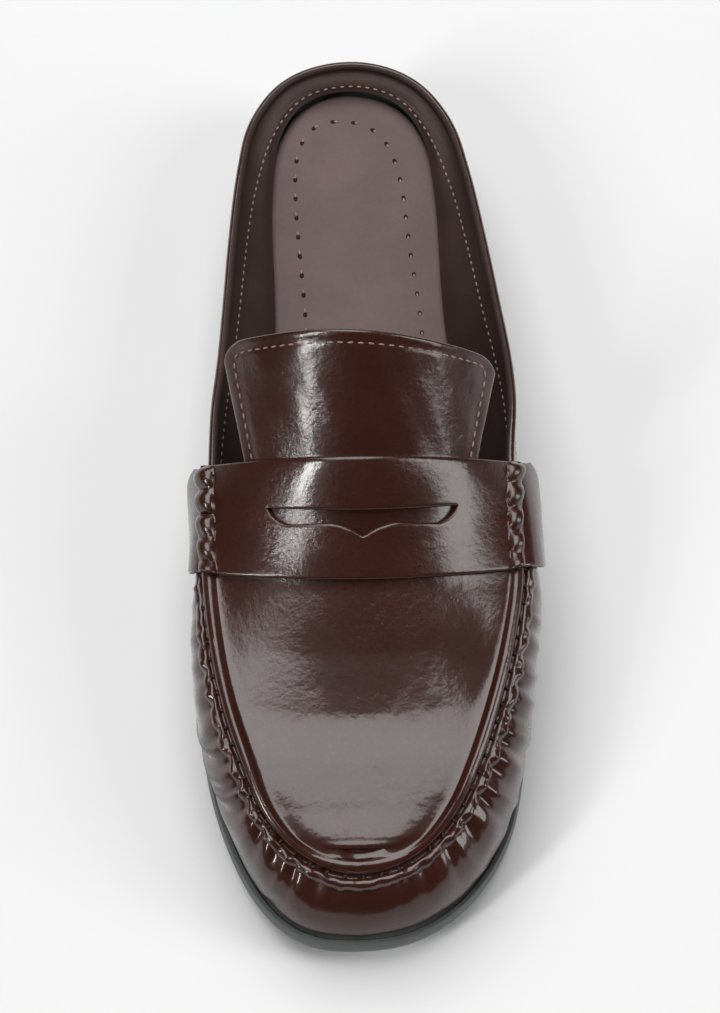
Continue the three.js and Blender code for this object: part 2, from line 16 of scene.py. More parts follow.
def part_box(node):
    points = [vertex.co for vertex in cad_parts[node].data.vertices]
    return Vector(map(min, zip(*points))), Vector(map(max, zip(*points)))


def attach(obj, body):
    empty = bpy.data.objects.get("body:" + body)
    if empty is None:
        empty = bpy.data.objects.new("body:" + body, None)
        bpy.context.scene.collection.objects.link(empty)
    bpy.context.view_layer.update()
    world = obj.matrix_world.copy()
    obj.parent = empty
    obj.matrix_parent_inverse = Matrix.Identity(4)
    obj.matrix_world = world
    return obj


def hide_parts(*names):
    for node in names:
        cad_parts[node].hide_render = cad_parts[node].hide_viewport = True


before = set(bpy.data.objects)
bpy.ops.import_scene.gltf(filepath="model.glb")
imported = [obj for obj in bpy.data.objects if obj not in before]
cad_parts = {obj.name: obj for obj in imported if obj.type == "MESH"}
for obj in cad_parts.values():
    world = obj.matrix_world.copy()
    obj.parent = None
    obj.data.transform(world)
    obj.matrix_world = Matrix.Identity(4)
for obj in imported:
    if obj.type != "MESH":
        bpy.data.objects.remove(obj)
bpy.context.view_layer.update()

bl_info = {
    "name": "Loafer mule",
    "version": (1, 0, 0),
    "blender": (4, 5, 0),
    "location": "3D View > Sidebar > Shoe",
    "description": "Builds the leather, stitching, sole and stage of a loafer mule",
    "category": "Add Mesh",
}

MM = 0.001

# Driving sizes of the sole
LENGTH = 268.0
BALL_WIDTH = 91.5
TOE_SPRING = 6.0
HEEL_PITCH = 17.6
SOLE_EDGE = 8.0
SIDE_ROUND = 1.2
BED_DEPTH = 1.6
HEEL_LENGTH = 74.0
TOP_PIECE = 5.8
WEDGE_BREAST = 0.75
WEDGE_BACK = 4.6
HEEL_TAPER = 1.2
INSOLE = 2.6
INSOLE_HOLLOW = 1.2
LINING_LEAN = 2.5  # lean of the padded lining over the insole's edge, beside the heel
HEEL_LEAN = 1.3  # and its further lean at the heel's back
PADDING = 0.7

# Driving sizes of the upper
LEDGE = 2.2
WALL = 1.8
WALL_RISE = 35.0
SWELL = 5.0
INSTEP_CROWN = 22.8
INSTEP_BOW = 9.2
SEAM_WIDTH = 6.0
SEAM_HEIGHT = 2.0
SEAM_GROOVE = 2.4  # how far below the seam line the whip stitches lie
GATHERED_ROLL = 4.1  # and the roll of gathered leather under them
QUARTER_ROWS = ((6.8, 0.6), (9.2, 0.84))  # below the collar, at most this share of the wall
LINING_ROW = 8.4
LINING_FOOT = 2.0  # least distance of the lining's stitches from the wall's foot
SEAM_FADE = 0.9  # sections over which the seam runs out at the apron's end
TUCK, TUCK_REACH = 0.75, 2.6  # the wall draws in at its foot
DRAPE = 0.16  # slow unevenness of the wall
GROOVE, GROOVE_HALF = 0.16, 0.45  # leather drawn down by a row of stitches
BINDING, INNER_BINDING = 0.3, 0.35  # the collar's binding stands out this much

# Driving sizes of strap and tongue
STRAP_FRONT = 93.5
STRAP_WIDTH = 30.5
STRAP = 1.6  # from the strap's lining to its face, clear of the seam
EAR_DROP = 11.5
EAR_CORNER = 6.5
EAR_FLARE = 1.2
EAR_RAKE = 0.5
SLOT_WIDTH = 49.0
SLOT_DEPTH = 4.2
SLOT_BEAK = 3.0
SLOT_SETBACK = 14.0
TONGUE = 1.8
TONGUE_UNDERLAP = 8.0
TONGUE_FREE = 33.4
TONGUE_SLOPE = math.radians(38)
TONGUE_ROOT = 63.0
TONGUE_END = 75.0
TONGUE_ARCH = 21.8
TONGUE_SWEEP = 6.0
TONGUE_TILT = 1.9
TONGUE_CORNER = 6.0
TONGUE_SEAM = 3.0  # distance of the stitches from the tongue's edge
TONGUE_GROOVE, TONGUE_GROOVE_HALF = 0.22, 0.5
TONGUE_DRAPE = 0.12

GAP = 0.3
STRAP_GAP = 0.5

# Sections of the outsole: along, lateral, medial, spring, pitch, edge
OUTSOLE = np.array(
    [
        [0.0, -0.044, 0.044, 1.0, 0.0, 0.85],
        [0.007, 0.113, 0.186, 0.87, 0.0, 0.87],
        [0.026, 0.221, 0.266, 0.68, 0.0, 0.9],
        [0.063, 0.333, 0.347, 0.42, 0.0, 0.94],
        [0.119, 0.424, 0.419, 0.17, 0.0, 0.97],
        [0.19, 0.471, 0.473, 0.0, 0.0, 1.0],
        [0.269, 0.495, 0.492, 0.0, 0.0, 1.02],
        [0.336, 0.507, 0.474, 0.0, 0.0, 1.05],
        [0.399, 0.498, 0.442, 0.0, 0.115, 1.06],
        [0.459, 0.468, 0.402, 0.0, 0.247, 1.0],
        [0.515, 0.431, 0.365, 0.0, 0.358, 1.0],
        [0.582, 0.391, 0.339, 0.0, 0.453, 1.0],
        [0.66, 0.363, 0.33, 0.0, 0.553, 1.03],
        [0.75, 0.354, 0.339, 0.0, 0.7, 1.08],
        [0.843, 0.343, 0.339, 0.0, 0.85, 1.15],
        [0.918, 0.306, 0.306, 0.0, 0.945, 1.21],
        [0.968, 0.219, 0.222, 0.0, 0.99, 1.24],
        [0.9925, 0.115, 0.115, 0.0, 1.0, 1.24],
        [1.0, 0.0, 0.0, 0.0, 1.0, 1.24],
    ]
)

# The same sections of the upper: along, lateral, medial, rise, swell, round
RIM = np.array(
    [
        [0.056, -0.038, 0.038, 0.48, 0.2, 1.0],
        [0.066, 0.092, 0.149, 0.517, 0.22, 1.0],
        [0.083, 0.169, 0.225, 0.591, 0.28, 1.0],
        [0.114, 0.245, 0.297, 0.697, 0.42, 1.0],
        [0.157, 0.306, 0.344, 0.814, 0.62, 1.0],
        [0.209, 0.36, 0.392, 0.891, 0.8, 1.0],
        [0.272, 0.411, 0.43, 0.951, 0.92, 1.0],
        [0.343, 0.448, 0.452, 1.011, 1.0, 1.0],
        [0.407, 0.442, 0.452, 1.003, 0.78, 0.85],
        [0.47, 0.446, 0.452, 1.031, 0.52, 0.5],
        [0.53, 0.468, 0.448, 0.963, 0.42, 0.2],
        [0.593, 0.466, 0.43, 0.84, 0.36, 0.0],
        [0.668, 0.442, 0.414, 0.717, 0.34, 0.0],
        [0.757, 0.408, 0.395, 0.586, 0.32, 0.0],
        [0.851, 0.365, 0.366, 0.429, 0.32, 0.0],
        [0.922, 0.313, 0.323, 0.306, 0.3, 0.0],
        [0.972, 0.215, 0.228, 0.257, 0.28, 0.0],
        [0.9925, 0.11, 0.12, 0.249, 0.28, 0.0],
        [0.999, 0.0, 0.0, 0.251, 0.28, 0.0],
    ]
)

# Apron between paired rim points, for the first sections: crown, bow
APRON = np.array(
    [
        [0.045, 0.0],
        [0.102, 0.02],
        [0.065, 0.04],
        [0.028, 0.09],
        [0.012, 0.16],
        [0.043, 0.27],
        [0.165, 0.43],
        [0.37, 0.65],
        [0.66, 0.92],
        [1.0, 1.0],
        [1.2, 1.0],
    ]
)

# Leather that the raised seam lifts, from the seam line: place towards the apron, and lift
SEAM = np.array(
    [[-0.7, 0.0], [-0.52, 0.72], [-0.32, 0.25], [-0.15, 0.9], [0.0, 1.0], [0.15, 0.75], [0.3, 0.0]]
)

# Side of the outsole: inset as a share of its roundness, and share of the edge's height
SOLE_SIDE_LOW = [(1.0, 0.0), (0.72, 0.03), (0.5, 0.1), (0.3, 0.22), (0.13, 0.4), (0.02, 0.52)]
SOLE_SIDE_HIGH = [(0.0, 0.56), (0.05, 0.64), (0.18, 0.8), (0.3, 0.93), (0.48, 1.0)]
FEATHER = 0.55  # depth of the groove where the upper meets the ledge

# Pleats that gather the wall into the seam, from the toe tip back along each side. Columns: along
# the rim, depth, half width, reach down the wall, and how far the foot of the pleat bends back.
LATERAL_PLEATS = np.array(
    [
        [6, 0.30, 0.8, 6, 0],
        [11, 0.55, 0.9, 9, 1],
        [17, 0.70, 1.0, 12, 1],
        [24, 0.85, 1.0, 22, 2],
        [31, 0.75, 1.1, 16, 2],
        [38, 0.95, 1.0, 24, 3],
        [45, 0.80, 1.2, 18, 3],
        [52, 0.90, 1.1, 24, 3],
        [60, 0.70, 1.2, 19, 4],
        [67, 0.75, 1.1, 24, 3],
        [75, 0.60, 1.3, 16, 3],
        [83, 0.55, 1.2, 20, 2],
        [92, 0.30, 1.3, 8, 2],
    ]
)
MEDIAL_PLEATS = np.array(
    [
        [5, 0.35, 0.8, 7, 0],
        [10, 0.50, 0.9, 8, 0],
        [16, 0.65, 1.0, 26, 3],
        [22, 0.60, 1.0, 9, 2],
        [28, 0.85, 1.1, 14, 3],
        [35, 0.95, 1.2, 30, 7],
        [40, 0.70, 1.0, 26, 7],
        [46, 1.05, 1.2, 28, 8],
        [53, 0.70, 1.1, 12, 3],
        [60, 0.80, 1.1, 11, 3],
        [68, 0.60, 1.2, 13, 3],
        [76, 0.55, 1.2, 10, 2],
        [86, 0.40, 1.3, 9, 2],
    ]
)
PLEAT_START = 3.4  # pleats begin this far below the seam line

# Line of the insole's stitching, from the strap round the heel: sideways, and behind the toe tip
INSOLE_STITCHING = np.array(
    [
        [-14.5, 150], [-14.3, 170], [-14.5, 189], [-16.1, 210], [-16.9, 222],
        [-17, 232], [-16.4, 240], [-14, 246.5], [-10.5, 250], [-6.5, 251.4],
        [-2.7, 251.6], [2, 251], [6.6, 248.6], [10, 244.8], [12.4, 239.5],
        [14.8, 229], [16.2, 211], [18.8, 190], [20, 170], [21, 150],
    ]
)  # fmt: skip

LAST = len(OUTSOLE) - 1
TURN = 2 * LAST
LATERAL, MEDIAL = 1, -1
X, Y, SPRING, PITCH, EDGE, RIM_X, RIM_Y, RISE, SWELLS, ROUND = range(10)


def unit(v):
    return v / np.maximum(np.linalg.norm(v, axis=-1, keepdims=True), 1e-9)


def mix(a, b, share):
    return a + (b - a) * share


def smooth(low, high, x):
    u = np.clip((x - low) / (high - low), 0, 1)
    return u * u * (3 - 2 * u)


def ring_rows():
    """Stations in a ring: toe, lateral side, heel, medial side."""
    rows = []
    for j in range(TURN):
        section = j if j <= LAST else TURN - j
        side, sign = (1, LATERAL) if j <= LAST else (2, MEDIAL)
        sole, rim = OUTSOLE[section], RIM[section]
        rows.append(
            [
                sign * sole[side] * BALL_WIDTH, sole[0] * LENGTH, *sole[3:],
                sign * rim[side] * BALL_WIDTH, rim[0] * LENGTH,
                rim[3] * WALL_RISE, rim[4] * SWELL, rim[5],
            ]
        )  # fmt: skip
    return np.array(rows)


def between(p, t, u):
    """Smooth curve through four values at uneven places, between the middle two."""

    def slope(a, b, c, ta, tb, tc):
        return ((b - a) / (tb - ta) * (tc - tb) + (c - b) / (tc - tb) * (tb - ta)) / (tc - ta)

    span = t[2] - t[1]
    m1 = slope(p[0], p[1], p[2], t[0], t[1], t[2]) * span
    m2 = slope(p[1], p[2], p[3], t[1], t[2], t[3]) * span
    u2, u3 = u * u, u * u * u
    return (
        (2 * u3 - 3 * u2 + 1) * p[1]
        + (u3 - 2 * u2 + u) * m1
        + (3 * u2 - 2 * u3) * p[2]
        + (u3 - u2) * m2
    )


class Last:
    """The shoe's form round its outline, faired so that gloss runs over it without a break."""

    STEP = 0.5  # mm between samples
    FAIRING = 4.0  # mm over which the curves are faired

    def __init__(self):
        rows = ring_rows()
        span = np.hypot(*(np.roll(rows, -1, 0) - rows)[:, :2].T)
        knots = np.concatenate([[0], np.cumsum(span)])
        self.girth = knots[-1]
        fine = np.arange(0, TURN, 1 / 40)
        j = np.floor(fine).astype(int)
        at = [rows[(j + k) % TURN] for k in (-1, 0, 1, 2)]
        t = [(knots[(j + k) % TURN] + (j + k) // TURN * self.girth)[:, None] for k in (-1, 0, 1, 2)]
        u = (fine - j)[:, None]
        values = between(at, t, u)
        self.places = np.append(fine, TURN)
        self.arcs = np.append(t[1][:, 0] + u[:, 0] * (t[2] - t[1])[:, 0], self.girth)
        values = np.vstack([values, values[:1]])
        self.middle = (values[:, :2].min(0) + values[:, :2].max(0)) / 2
        count = int(self.girth / self.STEP)
        self.grid = np.linspace(0, self.girth, count, endpoint=False)
        columns = np.array([np.interp(self.grid, self.arcs, c) for c in values.T])
        reach = int(3 * self.FAIRING / self.STEP)
        weight = np.exp(-0.5 * (np.arange(-reach, reach + 1) * self.STEP / self.FAIRING) ** 2)
        weight /= weight.sum()
        faired = sum(w * np.roll(columns, k, 1) for k, w in zip(range(-reach, reach + 1), weight))
        self.columns = np.hstack([faired, faired[:, :1]])
        self.grid = np.append(self.grid, self.girth)
        self.out = [self.normals(X, Y), self.normals(RIM_X, RIM_Y)]

    def normals(self, x, y):
        dx, dy = np.gradient(self.columns[x][:-1]), np.gradient(self.columns[y][:-1])
        normal = unit(np.stack([dy, -dx], -1))
        return np.vstack([normal, normal[:1]])

    def arc(self, place):
        return np.interp(np.mod(place, TURN), self.places, self.arcs)

    def place(self, arc):
        return np.interp(np.mod(arc, self.girth), self.arcs, self.places)

    def at(self, place):
        arc = self.arc(place)
        return [np.interp(arc, self.grid, c) for c in self.columns]

    def outward(self, place, rim=False):
        arc = self.arc(place)
        normal = self.out[1 if rim else 0]
        return unit(np.stack([np.interp(arc, self.grid, normal[:, i]) for i in (0, 1)], -1))


LAST_FORM = Last()


def ring_place(side, s):
    return np.asarray(s, float) if side == LATERAL else TURN - np.asarray(s, float)


def underside(h):
    return np.maximum(0, h[SPRING] * TOE_SPRING + h[PITCH] * HEEL_PITCH)


def sole_top(h):
    return underside(h) + h[EDGE] * SOLE_EDGE


def outline_point(place, inset, height):
    """Point of the sole's outline, inset in plan, at a height worked out from the station."""
    h = LAST_FORM.at(place)
    out = LAST_FORM.outward(place)
    return np.stack([h[X] - out[..., 0] * inset, h[Y] - out[..., 1] * inset, height(h)], -1)


def section_where(column, target):
    s = np.linspace(0, LAST, 1500)
    return np.interp(target, LAST_FORM.at(s)[column], s)


def section_at(y):
    """Section whose rim lies this far behind the toe tip."""
    return section_where(RIM_Y, y)


def wall_point(place, v):
    """Side wall of the upper, from its foot at v 0 to its rim at v 1."""
    h = LAST_FORM.at(place)
    out = LAST_FORM.outward(place)
    foot = outline_point(place, LEDGE, lambda h: sole_top(h) + GAP)
    turn = v * math.pi / 2
    inward = mix(v, 1 - np.cos(turn), h[ROUND])
    up = mix(v, np.sin(turn), h[ROUND])
    bulge = h[SWELLS] * np.sin(v * math.pi)
    return np.stack(
        [
            mix(foot[..., 0], h[RIM_X], inward) + out[..., 0] * bulge,
            mix(foot[..., 1], h[RIM_Y], inward) + out[..., 1] * bulge,
            foot[..., 2] + up * (h[RISE] - GAP),
        ],
        -1,
    )


def walk_wall(place):
    """Distances below the rim, measured along the wall, and the shares v that lie there."""
    v = np.linspace(1, 0, 90)
    points = wall_point(np.asarray(place)[..., None], v)
    steps = np.linalg.norm(np.diff(points, axis=-2), axis=-1)
    return np.concatenate([np.zeros(steps.shape[:-1] + (1,)), np.cumsum(steps, -1)], -1), v


def wall_share(place, distance):
    """Share v of the wall that lies some distance below the rim, for arrays of one shape."""
    place, distance = np.broadcast_arrays(np.asarray(place, float), np.asarray(distance, float))
    walked, v = walk_wall(place.ravel())
    found = [np.interp(d, w, v) for d, w in zip(distance.ravel(), walked)]
    return np.array(found).reshape(place.shape)


def apron_value(column, s):
    s = np.asarray(s, float)
    j = np.minimum(np.floor(s).astype(int), len(APRON) - 2)
    rows = [APRON[np.clip(j + k, 0, len(APRON) - 1), column] for k in (-1, 0, 1, 2)]
    return between(rows, [-1.0, 0.0, 1.0, 2.0], s - j)


def apron_point(s, t):
    """Apron and instep between the two rims: t runs from -1, medial, to 1, lateral."""
    medial, lateral = LAST_FORM.at(ring_place(MEDIAL, s)), LAST_FORM.at(ring_place(LATERAL, s))
    share, bow = (t + 1) / 2, 1 - t * t
    arch = mix(1 - t**4, bow, smooth(4, 7, s))  # flatter across the toe than over the instep
    rim = [sole_top(h) + h[RISE] for h in (medial, lateral)]
    return np.stack(
        [
            mix(medial[RIM_X], lateral[RIM_X], share),
            mix(medial[RIM_Y], lateral[RIM_Y], share) - bow * apron_value(1, s) * INSTEP_BOW,
            mix(rim[0], rim[1], share) + arch * apron_value(0, s) * INSTEP_CROWN,
        ],
        -1,
    )


def beside_rim(side, s, distance):
    """Point of the apron a short way in from the rim, square to it round the toe."""
    place = ring_place(side, s)
    h, other = LAST_FORM.at(place), LAST_FORM.at(ring_place(-side, s))
    width = np.abs(h[RIM_X] - other[RIM_X])
    out = LAST_FORM.outward(place, rim=True)
    share = 2 * distance / np.maximum(np.maximum(width, 4 * distance), GAP)
    level = apron_point(s, side * (1 - share))
    square = np.stack(
        [h[RIM_X] - out[..., 0] * distance, h[RIM_Y] - out[..., 1] * distance, level[..., 2]], -1
    )
    opening = np.clip((width - 2 * SEAM_WIDTH) / (4 * SEAM_WIDTH), 0, 1)
    return mix(square, level, opening[..., None])


def apron_rows(s, edges, shares):
    """Rows across the apron, one for each section: rim, seam, middle, seam, rim."""
    innermost = edges[-1]
    width = np.linalg.norm(apron_point(s, 1.0) - apron_point(s, -1.0), axis=-1)
    reach = 1 - np.minimum(2 * innermost / np.maximum(width, 1e-6), 1)
    joins = [beside_rim(side, s, innermost) for side in (MEDIAL, LATERAL)]
    ends = [apron_point(s, side * reach) for side in (MEDIAL, LATERAL)]
    middle = []
    for t in shares:
        shift = mix(joins[0] - ends[0], joins[1] - ends[1], (t + 1) / 2)
        middle.append(apron_point(s, t * reach) + shift)
    sides = [[beside_rim(side, s, d) for d in edges] for side in (MEDIAL, LATERAL)]
    return np.stack([*sides[0], *middle, *sides[1][::-1]], 1)


APRON_END = float(section_at(STRAP_FRONT + STRAP_WIDTH - TONGUE_UNDERLAP))
STRAP_REAR = STRAP_FRONT + STRAP_WIDTH
STRAP_END = float(section_at(STRAP_REAR))
BREAST = float(section_where(Y, LENGTH - HEEL_LENGTH))

# The frame's outsole tells where the toe tip and the centre line lie in the row's frame
_low, _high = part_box("outsole")
SHIFT = np.array([(_low.x + _high.x) / 2 / MM, (_low.y + _high.y) / 2 / MM, 0.0])
SHIFT[:2] -= LAST_FORM.middle


def placed(points):
    """Points of the shoe, in millimetres, moved to the row's frame in metres."""
    return (np.asarray(points, float) + SHIFT) * MM


# ---- meshes


def link(name, data):
    obj = bpy.data.objects.new(name, data)
    bpy.context.scene.collection.objects.link(obj)
    return obj


def mesh_object(name, points, faces, finishes, marks=None, sharp=math.radians(55)):
    """A closed mesh from points in millimetres, welded, with its faces pointing outwards."""
    mesh = bpy.data.meshes.new(name)
    mesh.from_pydata(placed(points).tolist(), [], [list(f) for f in faces])
    if marks is not None:
        mesh.polygons.foreach_set("material_index", np.asarray(marks, np.int32))
    bm = bmesh.new()
    bm.from_mesh(mesh)
    bmesh.ops.remove_doubles(bm, verts=bm.verts, dist=2e-6)
    bmesh.ops.dissolve_degenerate(bm, edges=bm.edges, dist=1e-6)
    if bm.calc_volume(signed=True) < 0:
        bmesh.ops.reverse_faces(bm, faces=bm.faces)
    bm.to_mesh(mesh)
    bm.free()
    for material in finishes:
        mesh.materials.append(material)
    mesh.polygons.foreach_set("use_smooth", np.ones(len(mesh.polygons), bool))
    mesh.set_sharp_from_angle(angle=sharp)
    return link(name, mesh)


def grid_faces(rows, columns, start=0):
    a = start + np.arange((rows - 1) * columns).reshape(rows - 1, columns)[:, :-1].ravel()
    return np.stack([a, a + 1, a + columns + 1, a + columns], -1)


def shell(name, grids, finishes):
    """A leather piece between two offsets of its base surface. Grids hold points, outer and inner
    offsets; the finishes are for the outside, the inside and the cut edges."""
    points = np.concatenate([g[0].reshape(-1, 3) for g in grids])
    outer = np.concatenate([np.broadcast_to(g[1], g[0].shape[:2]).ravel() for g in grids])
    inner = np.concatenate([np.broadcast_to(g[2], g[0].shape[:2]).ravel() for g in grids])
    faces, start = [], 0
    for g in grids:
        faces.append(grid_faces(*g[0].shape[:2], start))
        start += g[0].shape[0] * g[0].shape[1]
    faces = np.concatenate(faces)
    keys = np.round(points * 500).astype(np.int64)
    _, first, index = np.unique(keys, axis=0, return_index=True, return_inverse=True)
    index = index.ravel()
    faces = index[faces]
    points, outer, inner = points[first], outer[first], inner[first]
    a, b, c, d = (points[faces[:, k]] for k in range(4))
    diagonal = np.cross(c - a, d - b)
    normals = np.zeros_like(points)
    for k in range(4):
        np.add.at(normals, faces[:, k], diagonal)
    normals = unit(normals)
    both = np.concatenate([points + normals * outer[:, None], points + normals * inner[:, None]])
    n = len(points)
    sides = np.concatenate([faces[:, [k, (k + 1) % 4]] for k in range(4)])
    sides = sides[sides[:, 0] != sides[:, 1]]
    code = sides[:, 0] * n + sides[:, 1]
    rim = sides[~np.isin(sides[:, 1] * n + sides[:, 0], code)]
    rim = rim[np.abs(outer[rim] - inner[rim]).max(1) > 1e-4]
    everything, marks = [], []
    for quad in faces:
        corners = list(dict.fromkeys(quad.tolist()))
        if len(corners) > 2:
            everything += [corners, [c + n for c in corners[::-1]]]
            marks += [0, 1]
    for a, b in rim:
        everything.append([b, a, a + n, b + n])
        marks.append(2)
    return mesh_object(name, both, everything, finishes, marks)


def loft(name, low, high, under, over, material, capped=False, sharp=math.radians(40)):
    """A body through one closed loop at each section. Low and high are pairs of medial and lateral
    points from the bottom up, under and over the points between the lowest pair and the highest.
    The first loop gets a cap, or closes to a line as the last one does."""
    loop = [p[0] for p in low[::-1]] + under + [p[1] for p in low]
    loop += [p[1] for p in high] + over[::-1] + [p[0] for p in high[::-1]]
    loops = np.stack([*loop, loop[0]], 1)
    rows, columns = loops.shape[:2]
    faces = grid_faces(rows, columns).tolist()
    if capped:
        last = columns - 2
        faces += [[i, i + 1, last - 1 - i, last - i] for i in range((columns - 1) // 2 - 1)]
    obj = mesh_object(name, loops.reshape(-1, 3), faces, [finish(material)], sharp=sharp)
    bm = bmesh.new()
    bm.from_mesh(obj.data)
    bmesh.ops.recalc_face_normals(bm, faces=bm.faces)
    bm.to_mesh(obj.data)
    bm.free()
    obj.data.set_sharp_from_angle(angle=sharp)
    return obj


# ---- materials


def linear(code):
    """sRGB hex colour as linear RGBA."""
    channels = [int(code[i : i + 2], 16) / 255 for i in (1, 3, 5)]
    return (*[c / 12.92 if c <= 0.04045 else ((c + 0.055) / 1.055) ** 2.4 for c in channels], 1.0)


def add(tree, kind, settings=(), **inputs):
    """A node with its settings and inputs. An input is a value, or a socket to link from."""
    node = tree.nodes.new(kind)
    for name, value in dict(settings).items():
        setattr(node, name, value)
    for name, value in inputs.items():
        key = int(name[1:]) if name[0] == "_" and name[1:].isdigit() else name.replace("_", " ")
        socket = node.inputs[key]
        if isinstance(value, bpy.types.NodeSocket):
            tree.links.new(value, socket)
        else:
            socket.default_value = value
    return node


def blank(name):
    found = bpy.data.materials.new(name)
    found.use_nodes = True
    found.node_tree.nodes.clear()
    tree = found.node_tree
    out = tree.nodes.new("ShaderNodeOutputMaterial")
    place = add(tree, "ShaderNodeTexCoord").outputs["Object"]
    return found, tree, out, place


def ramp(tree, factor, stops):
    node = add(tree, "ShaderNodeValToRGB", Fac=factor)
    ends = node.color_ramp.elements
    for i, (position, color) in enumerate(stops):
        element = ends[i] if i < 2 else ends.new(position)
        element.position = position
        element.color = color
    return node.outputs["Color"]


def noise(tree, place, wide, detail, rough=0.5, **more):
    """Fractal noise whose features are about this many millimetres wide."""
    return add(
        tree, "ShaderNodeTexNoise", Vector=place, Scale=1 / (wide * MM), Detail=detail,
        Roughness=rough, **more,
    ).outputs["Fac"]  # fmt: skip


def remap(tree, value, low, high, to_low, to_high):
    return add(
        tree, "ShaderNodeMapRange", Value=value, _1=low, _2=high, _3=to_low, _4=to_high
    ).outputs[0]


def relief(tree, height, strength, depth, **under):
    """Bump of a depth in millimetres, over the relief given as Normal."""
    node = add(
        tree, "ShaderNodeBump", Strength=strength, Distance=depth * MM, Height=height, **under
    )
    return node.outputs[0]


def surface(tree, out, **inputs):
    shader = add(tree, "ShaderNodeBsdfPrincipled", **inputs)
    tree.links.new(shader.outputs[0], out.inputs["Surface"])


def leather_material(name, tones):
    """Waxed cow leather, brushed glossy over a drum-milled grain: broad reflections that break up
    into fine short creases, more of them where instep, strap and tongue bend. Specular and coat
    fall away towards the sole as painted shade, so the lower wall reflects less of the pale floor."""
    found, tree, out, place = blank(name)
    creases = noise(tree, place, 1.5, 6.0, 0.7, Distortion=0.3)
    grain = noise(tree, place, 0.8, 3.0, 0.6)
    waves = noise(tree, place, 6, 3.0)
    patches = noise(tree, place, 16, 2.0)
    where = add(tree, "ShaderNodeSeparateXYZ", Vector=place).outputs
    bends = remap(tree, where["Y"], -0.1, -0.05, -0.14, 0.06)
    milled = add(tree, "ShaderNodeMath", {"operation": "ADD"}, _0=patches, _1=bends).outputs[0]
    milled = remap(tree, milled, 0.36, 0.66, 0.08, 1.0)
    normal = relief(tree, waves, 0.5, 0.2)
    normal = relief(tree, creases, milled, 0.085, Normal=normal)
    normal = relief(tree, grain, 0.5, 0.02, Normal=normal)
    # specular and coat drop with height near the sole: painted shade that dims the lower wall's
    # floor reflection
    surface(
        tree, out, Base_Color=ramp(tree, patches, list(zip((0.3, 0.6, 0.8), tones))),
        Roughness=remap(tree, grain, 0.3, 0.7, 0.26, 0.38), IOR=1.34,
        Specular_IOR_Level=remap(tree, where["Z"], 0.012, 0.03, 0.12, 0.5),
        Coat_Weight=remap(tree, where["Z"], 0.012, 0.03, 0.2, 0.85), Coat_Roughness=0.11,
        Coat_IOR=1.52, Normal=normal, Coat_Normal=normal,
    )  # fmt: skip
    return found


def plain_leather(name, tones, rough, grain, depth, sheen=0.0):
    """Unpolished leather, its cut edge or waxed thread: matte, with pores and a little colour
    drift. Grain and depth of the pores are in millimetres."""
    found, tree, out, place = blank(name)
    pores = noise(tree, place, grain, 5.0, 0.65)
    drift = noise(tree, place, 14, 3.0)
    surface(
        tree, out, Base_Color=ramp(tree, drift, list(zip((0.35, 0.65), tones))), IOR=1.45,
        Roughness=remap(tree, pores, 0.3, 0.7, rough - 0.06, rough + 0.08),
        Sheen_Weight=sheen, Sheen_Roughness=0.5, Normal=relief(tree, pores, 0.7, depth),
    )  # fmt: skip
    return found


def rubber_material(name, tones, rough):
    """Moulded rubber with a buffed edge: fine marks of the buffing wheel run round the sole."""
    found, tree, out, place = blank(name)
    flat = add(tree, "ShaderNodeMapping", Vector=place, Scale=(1.0, 1.0, 9.0)).outputs[0]
    buffed = noise(tree, flat, 5, 4.0, 0.6)
    grain = noise(tree, place, 0.5, 3.0, 0.6)
    normal = relief(tree, grain, 0.4, 0.05, Normal=relief(tree, buffed, 0.5, 0.08))
    surface(
        tree, out, Base_Color=ramp(tree, buffed, list(zip((0.35, 0.68), tones))), IOR=1.5,
        Roughness=remap(tree, buffed, 0.3, 0.7, rough - 0.07, rough + 0.1), Normal=normal,
    )  # fmt: skip
    return found


def tone(color, factor):
    return (*[c * factor for c in color[:3]], 1.0)


# Finishes: maker, colour in the panel, its shades as factors, and the maker's other measures
FINISHES = {
    "waxed_leather": (leather_material, "leather", (0.82, 1.0, 1.2)),
    "lining_leather": (plain_leather, "lining", (0.85, 1.15), 0.62, 1.2, 0.12),
    "cut_edge": (plain_leather, "leather", (0.7, 1.3), 0.45, 0.6, 0.1),
    "insole_leather": (plain_leather, "insole", (0.93, 1.07), 0.62, 0.9, 0.06, 0.15),
    "sole_rubber": (rubber_material, "sole", (0.85, 1.3), 0.42),
    "lift_rubber": (rubber_material, "lifts", (0.85, 1.2), 0.36),
    "thread": (plain_leather, "thread", (0.8, 1.15), 0.55, 0.3, 0.1),
    # near-black whip-stitch thread: the stitches are real, their darkness is partly painted shade
    # of the seam's groove
    "dark_thread": (plain_leather, "leather", (0.28, 0.5), 0.5, 0.3, 0.1),
    "insole_thread": (plain_leather, "insole", (2.0, 2.6), 0.6, 0.3, 0.1),
    # near-black beads sunk into needle holes: painted shade of the holes
    "needle_hole": (plain_leather, "leather", (0.12, 0.2), 0.8, 0.5, 0.05),
}
_made = {}


def finish(name):
    """One of the shoe's finishes, made once from the colours in the panel."""
    if name not in _made:
        maker, source, factors, *measures = FINISHES[name]
        color = tuple(getattr(bpy.context.scene.mule_colors, source))
        _made[name] = maker(name, [tone(color, factor) for factor in factors], *measures)
    return _made[name]


def leather_finishes():
    return [finish("waxed_leather"), finish("lining_leather"), finish("cut_edge")]


# ---- leather pieces


def seam_lift(q):
    """Lift of the solid's seam at a place across it, in millimetres."""
    return SEAM_HEIGHT * np.interp(q / SEAM_WIDTH, SEAM[:, 0], SEAM[:, 1])


def half_round(x, half, height):
    """A roll of leather across its width."""
    return height * np.sqrt(np.clip(1 - (x / half) ** 2, 0, 1))


